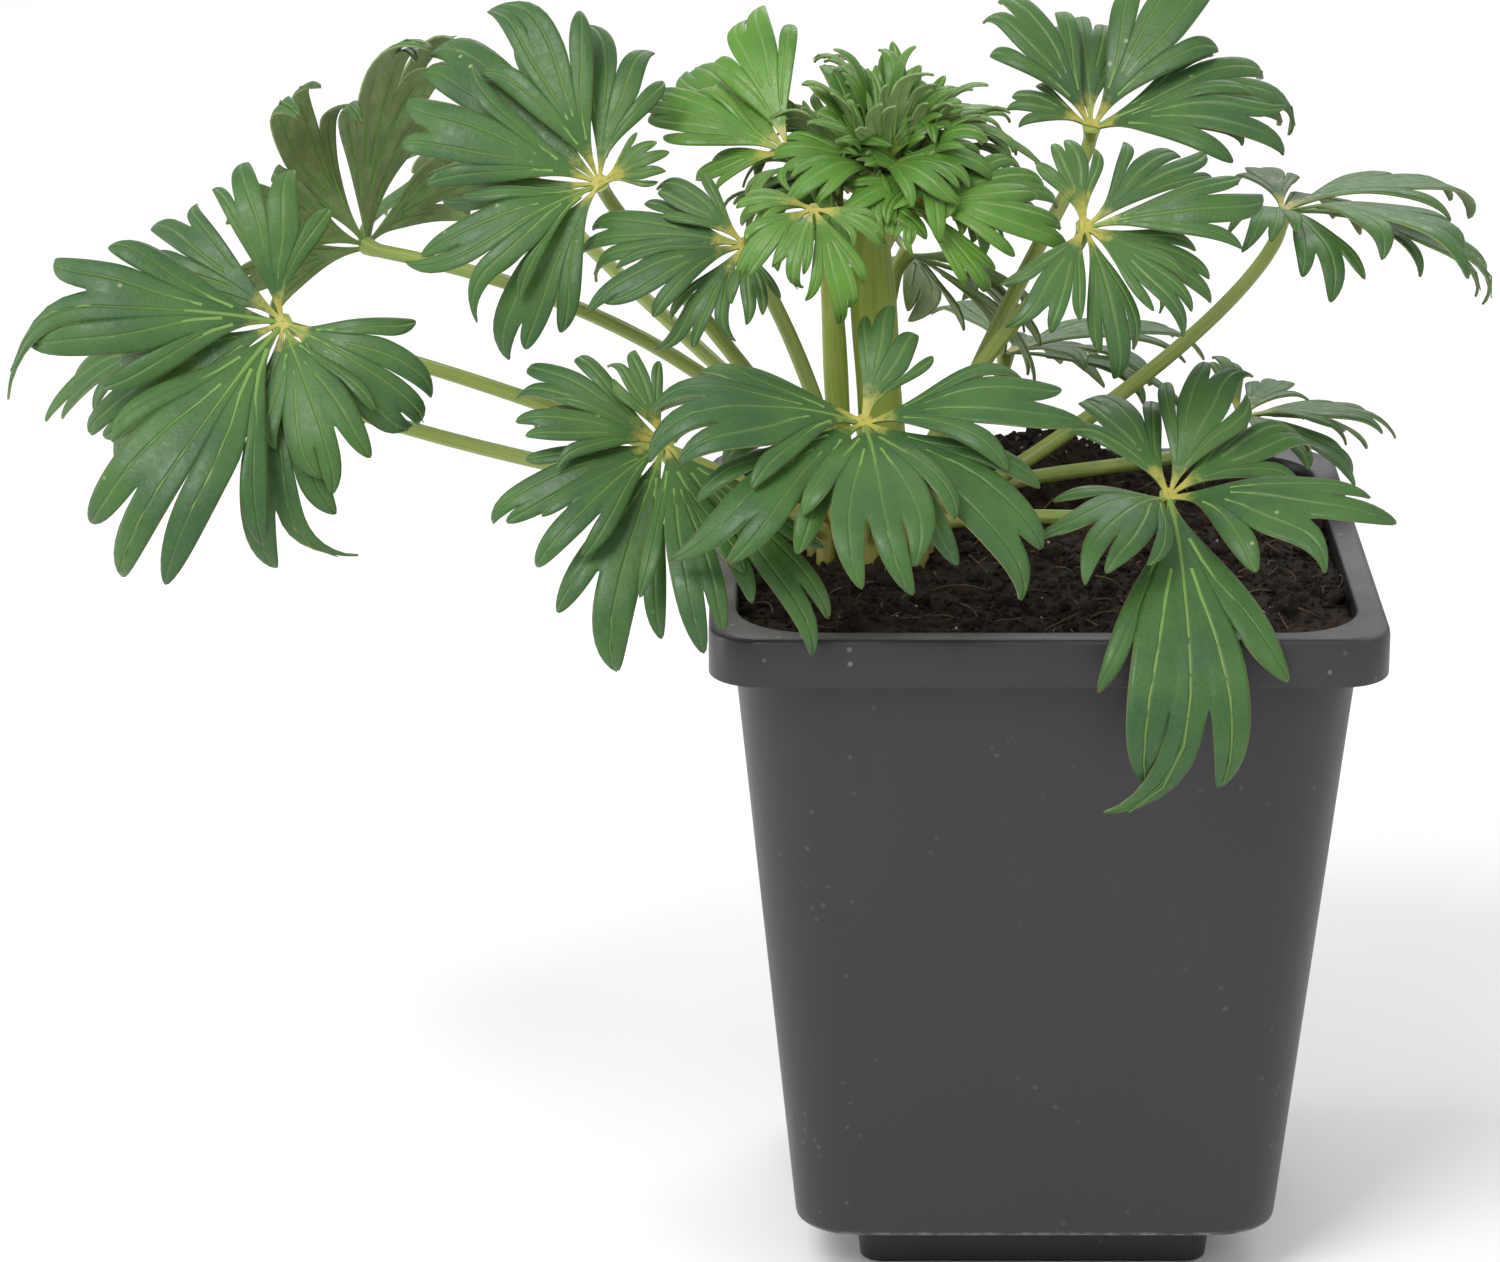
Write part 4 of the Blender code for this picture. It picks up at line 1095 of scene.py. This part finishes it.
class Blade:
    """One palmate blade: a sheet of fingers with veins, and the ribs under it."""

    def __init__(self, spec, seed):
        self.hub = np.array(spec[0], float)
        self.downhill, self.across, self.outward = leaf_frame(spec[1], spec[2])
        self.usual = spec[3]
        self.lobes = from_widest_gap(spec[4])
        self.rng = np.random.RandomState(seed)
        self.bm = bmesh.new()
        layers = self.bm.verts.layers.float
        self.layers = {name: layers.new(name) for name in ("vein", "reach", "margin", "end")}
        self.rib_lines = []
        self.rib_widths = []
        for i in range(len(self.lobes)):
            self.add_lobe(i)
        bmesh.ops.remove_doubles(self.bm, verts=self.bm.verts, dist=1e-6)

    def add_lobe(self, i):
        turns = [lobe[0] % 360 for lobe in self.lobes]
        turn, length, kind, width = self.lobes[i][:4]
        lift, droop, curl = self.lobes[i][4:] or self.usual
        lift = lift + STAGGER[i % 2]
        before = (turns[i] - turns[i - 1]) % 360
        after = (turns[(i + 1) % len(turns)] - turns[i]) % 360
        foot = HUB_RADIUS * radians(min(before, after, FOOT_GAP) * FOOT_SHARE) / length
        t = radians(turn)
        away = cos(t) * self.downhill + sin(t) * self.across
        aside = np.cross(self.outward, away)
        sway = self.rng.normal(0, .018)
        ripple = self.rng.uniform(0, 2 * pi)
        for finger in lobe_fingers(PATTERNS[kind], width, foot, self.rng):
            flat, height, vein, margin, notch = finger_sheet(finger, ripple)
            bend = radians(min(curl * self.rng.uniform(*CURL_VARIES), MOST_CURL))
            hook = self.rng.normal(0, HOOK_VARIES)
            bent = arched(curled(flat, height, finger, bend, hook), lift, droop, sway) * length
            grid = (self.hub + (HUB_RADIUS + bent[..., :1]) * away + bent[..., 1:2] * aside
                    + bent[..., 2:] * self.outward)
            self.add_finger(grid, vein * length, flat[..., 1] * length, margin)
            lean = finger[-1]
            begin = 0 if abs(lean) < SIDE_FINGER else int(notch * BRANCHING)
            self.add_rib(grid[VEIN_COLUMN, begin:], length, begin)

    def add_finger(self, grid, vein, reach, margin):
        count = len(FINGER_COLUMNS)
        verts = []
        for c in range(count):
            column = []
            for r in range(FINGER_ROWS + 1):
                if r == FINGER_ROWS and c:
                    column.append(verts[0][r])
                    continue
                v = self.bm.verts.new(grid[c, r] * MM)
                v[self.layers["vein"]] = vein[c, r]
                v[self.layers["reach"]] = reach[c, r] + HUB_RADIUS
                v[self.layers["margin"]] = margin[c, r]
                v[self.layers["end"]] = r / FINGER_ROWS
                column.append(v)
            verts.append(column)
        for a, b in zip(verts, verts[1:]):
            for r in range(FINGER_ROWS - 1):
                self.bm.faces.new((a[r], b[r], b[r + 1], a[r + 1]))
            self.bm.faces.new((a[-2], b[-2], b[-1]))

    def add_rib(self, line, length, begin):
        line = line[:-1]
        if len(line) < 3:
            return
        thick = RIB_RADIUS * (length / RIB_LENGTH) ** .5
        t = np.linspace(begin / FINGER_ROWS, 1, len(line))
        under = line - self.outward * BLADE * .9
        self.rib_lines.append(under)
        self.rib_widths.append(thick * (1.05 - t) ** .8 + .06)

    def close_hub(self, mesh):
        """Joins the feet of the smoothed lobes with a flat star, and faces the sheet outwards."""
        bm = bmesh.new()
        bm.from_mesh(mesh)
        hub = self.hub * MM
        middle = bm.verts.new(hub)
        reach = HUB_RADIUS * MM * HUB_REACH
        feet = [v for v in bm.verts if v != middle and v.is_boundary
                and np.linalg.norm(np.array(v.co) - hub) < reach]

        def bearing(v):
            rel = np.array(v.co) - hub
            return np.arctan2(rel @ self.across, rel @ self.downhill)

        feet.sort(key=bearing)
        for a, b in zip(feet, feet[1:] + feet[:1]):
            gap = (bearing(b) - bearing(a)) % (2 * pi)
            if 1e-4 < gap < pi * .95:
                bm.faces.new((middle, a, b))
        bmesh.ops.recalc_face_normals(bm, faces=bm.faces)
        score = sum(f.calc_area() * (np.array(f.normal) @ self.outward) for f in bm.faces)
        if score < 0:
            bmesh.ops.reverse_faces(bm, faces=bm.faces)
        bm.to_mesh(mesh)
        bm.free()


def leaf_material(name, upper, vein, hub, gloss):
    """The upper side: mottled green, pale fine veins, a yellow hub and a thin dark margin."""
    m = Material(name, upper, gloss)
    upper = tuple(upper)
    broad = m.noise(55, 3, .55)
    fine = m.noise(420, 4, .6)
    net = m.cells(900, 'DISTANCE_TO_EDGE')
    from_vein = m.attribute("vein")
    reach = m.attribute("reach")
    darker = (upper[0] * .74, upper[1] * .80, upper[2] * 1.05)
    lighter = (upper[0] * 1.45, upper[1] * 1.28, upper[2])
    colour = m.mix(m.ramp(broad, .32, .68), darker, lighter)
    colour = m.mix(m.ramp(fine, .45, .75, 0, .35), colour, lighter)
    colour = m.mix(m.ramp(net, 0, .12, .10, 0), colour, tuple(vein))
    flecks = m.maths('MULTIPLY', m.ramp(m.cells(210), .05, .11, 1, 0),
                     m.ramp(m.noise(70, 2, .5), .55, .62))
    colour = m.mix(m.maths('MULTIPLY', flecks, .55), colour, (.42, .46, .20))
    wide = m.ramp(reach, 4, 34, .55, .32)
    line = m.ramp(m.maths('DIVIDE', from_vein, wide), .1, 1.0, 1, 0)
    fade = m.ramp(reach, 5, 40, .80, .22)
    colour = m.mix(m.maths('MULTIPLY', line, fade), colour, tuple(vein))
    glow = m.ramp(from_vein, .2, 2.6, m.ramp(reach, 3, 26, .50, .06), 0)
    colour = m.mix(glow, colour, tuple((a + b) / 2 for a, b in zip(upper, vein)))
    centre = m.ramp(m.maths('ADD', reach, m.ramp(fine, .3, .7, -1.5, 1.5)), 1.5, 6.5, 1, 0)
    colour = m.mix(centre, colour, tuple(hub))
    edge = m.ramp(m.attribute("margin"), .78, 1.0, 0, .6)
    colour = m.mix(edge, colour, (.16, .13, .045))
    burnt = m.maths('MULTIPLY', m.ramp(m.attribute("end"), .93, 1.0),
                    m.ramp(m.noise(80, 2, .5), .48, .60))
    colour = m.mix(m.maths('MULTIPLY', burnt, .75), colour, (.14, .07, .03))
    roughness = m.ramp(fine, .3, .7, gloss - .07, gloss + .10)
    groove = m.ramp(from_vein, 0, .45, 0, 1)
    normal = m.bump(groove, .00022, .8)
    normal = m.bump(net, .00010, .5, normal)
    normal = m.bump(fine, .00018, .5, normal)
    return m.finish(colour, roughness, normal, Specular_IOR_Level=.42, Subsurface_Weight=.10,
                    Subsurface_Scale=.0015)


def underside_material(name, under, vein):
    """The paler, duller under side."""
    m = Material(name, under, .6)
    under = tuple(under)
    fine = m.noise(260, 4, .6)
    net = m.cells(800, 'DISTANCE_TO_EDGE')
    colour = m.mix(m.ramp(fine, .35, .7), tuple(c * .8 for c in under), tuple(c * 1.2 for c in under))
    colour = m.mix(m.ramp(net, 0, .14, .35, 0), colour, tuple(vein))
    colour = m.mix(m.ramp(m.attribute("reach"), 2, 9, .8, 0), colour, tuple(vein))
    normal = m.bump(net, .00015, .5)
    return m.finish(colour, m.ramp(fine, .3, .7, .52, .68), normal, Subsurface_Weight=.10,
                    Subsurface_Scale=.0015)


def rib_material(vein):
    """A vein's raised rib, which darkens towards its end."""
    m = Material("leaf_rib", vein, .5)
    vein = tuple(vein)
    colour = m.mix(m.attribute("along"), tuple(c * 1.25 for c in vein), tuple(c * .7 for c in vein))
    return m.finish(colour, None, m.bump(m.noise(900, 2, .5), .00005, .4))


def rib_tree(material):
    """Fine ribs along the veins, under the blade."""
    tree = Growth("leaf_ribs", {"Sides": 6})
    line = tree.add("GeometryNodeMeshToCurve", {"Mesh": tree.given["Geometry"]}).outputs[0]
    ring = tree.circle(tree.given["Sides"], 1.0)
    return tree.close(tree.tube(line, ring, tree.named("thickness")), material)


def add_blade(name, spec, seed, thickness, upper, under, ribs, slot, nodes):
    """One finished blade and its ribs."""
    blade = Blade(spec, seed)
    lines, widths = blade.rib_lines, blade.rib_widths
    piece = new_piece(name, blade.bm, upper, under)
    smooth = piece.modifiers.new("smooth", 'SUBSURF')
    smooth.levels = 1
    smooth.render_levels = 1
    smooth.boundary_smooth = 'PRESERVE_CORNERS'
    blade.close_hub(baked(piece).data)
    thick = piece.modifiers.new("thickness", 'SOLIDIFY')
    thick.thickness = thickness
    thick.offset = -1
    thick.use_even_offset = False
    thick.material_offset = 1
    thick.material_offset_rim = 1
    baked(piece)
    piece.data.shade_smooth()
    keep(piece, slot, *nodes)
    under_ribs = link_piece(name + "_ribs", polylines(name, lines, widths))
    keep(grow(under_ribs, ribs), slot, *nodes)


class MONKSHOOD_OT_leaves(bpy.types.Operator):
    """Build the blades of the grown leaves, with their veins and ribs"""
    bl_idname = "monkshood.leaves"
    bl_label = "Grown Leaves"

    def execute(self, context):
        s = context.scene.monkshood_leaves
        upper = leaf_material("leaf_upper_side", s.upper, s.vein, s.hub, .46)
        under = underside_material("leaf_under_side", s.under, s.vein)
        ribs = rib_tree(rib_material(s.vein))
        for seed, (name, spec) in enumerate(GROWN.items()):
            add_blade("blade_" + name, spec, 100 + seed, s.thickness, upper, under, ribs,
                      "leaf_green", ["leaf_" + name])
        return {'FINISHED'}


def tuft_leaves():
    """Unfolding leaves in a spiral round the tip of the main shoot: erect inside, spread outside."""
    made = {}
    for i in range(TUFT_COUNT):
        bearing = i * GOLDEN_ANGLE + TUFT_BEARING
        a = radians(bearing)
        if i < TUFT_INNER:
            # nearly upright and facing inwards, so its lobes arch out over the tip
            out = 1.5 + .8 * i
            rise = 4 - .6 * i
            facing = bearing + 180
            slope = 84 - 2 * i
            lobes = tuple((turn, (19 + .7 * i) * share, "slim", 1.5) for turn, share in TUFT_ERECT)
            bend = (2, 22 + 9 * i, 34)
        else:
            # each lower and further out than the last, and arching outwards and down
            step = i - TUFT_INNER
            out = 6 + .9 * step
            rise = 4 - 1.5 * step
            facing = bearing
            slope = 30 - 2 * step
            lobes = tuple((turn, (23 - .4 * step) * share, "slim", 1.6)
                          for turn, share in TUFT_SPREAD)
            bend = (46, 96, 36)
        hub = SHOOT_TIP + (out * cos(a), out * sin(a), rise)
        made[f"tuft_{i + 1}"] = (hub, facing, slope, bend, lobes)
    return made


def add_tuft_stalks(stems):
    """Short stalks from the shoot's tip to the tuft's leaves."""
    lines = []
    for spec in tuft_leaves().values():
        outward = leaf_frame(spec[1], spec[2])[2]
        foot = SHOOT_TIP - (0, 0, 7)
        end = spec[0] - outward * BLADE
        lines.append(bezier([foot, foot + (0, 0, 5), end - outward * 3, end], np.linspace(0, 1, 12)))
    widths = [np.linspace(.95, .6, 12) for _ in lines]
    skin = stalk_material("tuft_stalk_skin", stems.shoot, stems.stalk, .45)
    piece = link_piece("tuft_stalks", polylines("tuft_stalks", lines, widths))
    keep(grow(piece, stalk_tree("tuft_stalk", skin, 10, 4, .05)), "petiole_green", "main_shoot")


class MONKSHOOD_OT_young_leaves(bpy.types.Operator):
    """Build the young leaves and the tuft of unfolding leaves at the shoot tips"""
    bl_idname = "monkshood.young_leaves"
    bl_label = "Young Leaves"

    def execute(self, context):
        s = context.scene.monkshood_leaves
        pale = tuple(c * 1.3 for c in s.vein)
        upper = leaf_material("young_upper_side", s.young, pale, s.hub, .40)
        under = underside_material("young_under_side", tuple(c * 1.15 for c in s.under), pale)
        ribs = rib_tree(rib_material(pale))
        for seed, (name, spec) in enumerate(YOUNG.items()):
            add_blade("young_blade_" + name, spec, 300 + seed, s.thickness, upper, under, ribs,
                      "young_leaf_green", ["young_leaf_" + name])
        for seed, (name, spec) in enumerate(tuft_leaves().items()):
            add_blade(name, spec, 400 + seed, s.thickness, upper, under, ribs,
                      "young_leaf_green", ["young_leaf_tip_middle"])
        add_tuft_stalks(context.scene.monkshood_stems)
        return {'FINISHED'}


# ---------------------------------------------------------------- stage
def add_light(name, place, size, power):
    data = bpy.data.lights.new(name, 'AREA')
    data.shape = 'RECTANGLE'
    data.size, data.size_y = size
    data.energy = power
    lamp = bpy.data.objects.new(name, data)
    lamp.location = place
    lamp.rotation_euler = (Vector(AIM) - Vector(place)).to_track_quat('-Z', 'Y').to_euler()
    bpy.context.scene.collection.objects.link(lamp)


class MONKSHOOD_OT_stage(bpy.types.Operator):
    """Set the pale floor, the soft lights and the camera"""
    bl_idname = "monkshood.stage"
    bl_label = "Stage"

    def execute(self, context):
        scene = context.scene
        settings = scene.monkshood_stage
        m = Material("pale_floor", settings.floor, .9)
        bm = bmesh.new()
        bmesh.ops.create_grid(bm, x_segments=1, y_segments=1, size=FLOOR_HALF)
        floor = new_piece("floor", bm, m.finish(m.mix(m.noise(2, 2, .5), tuple(settings.floor),
                                                      tuple(c * .98 for c in settings.floor))))
        world = scene.world or bpy.data.worlds.new("surround")
        scene.world = world
        world.use_nodes = True
        sky = world.node_tree.nodes["Background"]
        sky.inputs["Color"].default_value = (1, 1, 1, 1)
        sky.inputs["Strength"].default_value = settings.sky
        for name, (place, size, power) in LIGHTS.items():
            add_light(name, place, size, power)
        data = bpy.data.cameras.new("camera")
        data.lens = LENS
        camera = bpy.data.objects.new("camera", data)
        camera.location = CAMERA_PLACE
        camera.rotation_euler = (radians(90 - CAMERA_PITCH), 0, 0)
        scene.collection.objects.link(camera)
        scene.camera = camera
        scene.view_settings.view_transform = 'Standard'
        return {'FINISHED'}


# ---------------------------------------------------------------- panel and registration
class MONKSHOOD_PT_panel(bpy.types.Panel):
    """Lists the pieces of the plant"""
    bl_idname = "MONKSHOOD_PT_panel"
    bl_label = "Potted Monkshood"
    bl_space_type = 'VIEW_3D'
    bl_region_type = 'UI'
    bl_category = "Monkshood"

    def draw(self, context):
        for operator in OPERATORS:
            self.layout.operator(operator.bl_idname)


OPERATORS = (
    MONKSHOOD_OT_pot,
    MONKSHOOD_OT_soil,
    MONKSHOOD_OT_rootstock,
    MONKSHOOD_OT_shoots,
    MONKSHOOD_OT_stalks,
    MONKSHOOD_OT_leaves,
    MONKSHOOD_OT_young_leaves,
    MONKSHOOD_OT_stage,
)
SETTINGS = {
    "monkshood_pot": MonkshoodPot,
    "monkshood_soil": MonkshoodSoil,
    "monkshood_leaves": MonkshoodLeaves,
    "monkshood_stems": MonkshoodStems,
    "monkshood_stage": MonkshoodStage,
}


def register():
    for cls in (*SETTINGS.values(), *OPERATORS, MONKSHOOD_PT_panel):
        bpy.utils.register_class(cls)
    for name, group in SETTINGS.items():
        setattr(bpy.types.Scene, name, bpy.props.PointerProperty(type=group))


def unregister():
    for name in SETTINGS:
        delattr(bpy.types.Scene, name)
    for cls in (MONKSHOOD_PT_panel, *reversed(OPERATORS), *SETTINGS.values()):
        bpy.utils.unregister_class(cls)


def main():
    register()
    for operator in OPERATORS:
        group, name = operator.bl_idname.split(".")
        getattr(getattr(bpy.ops, group), name)()


if __name__ == "__main__":
    main()
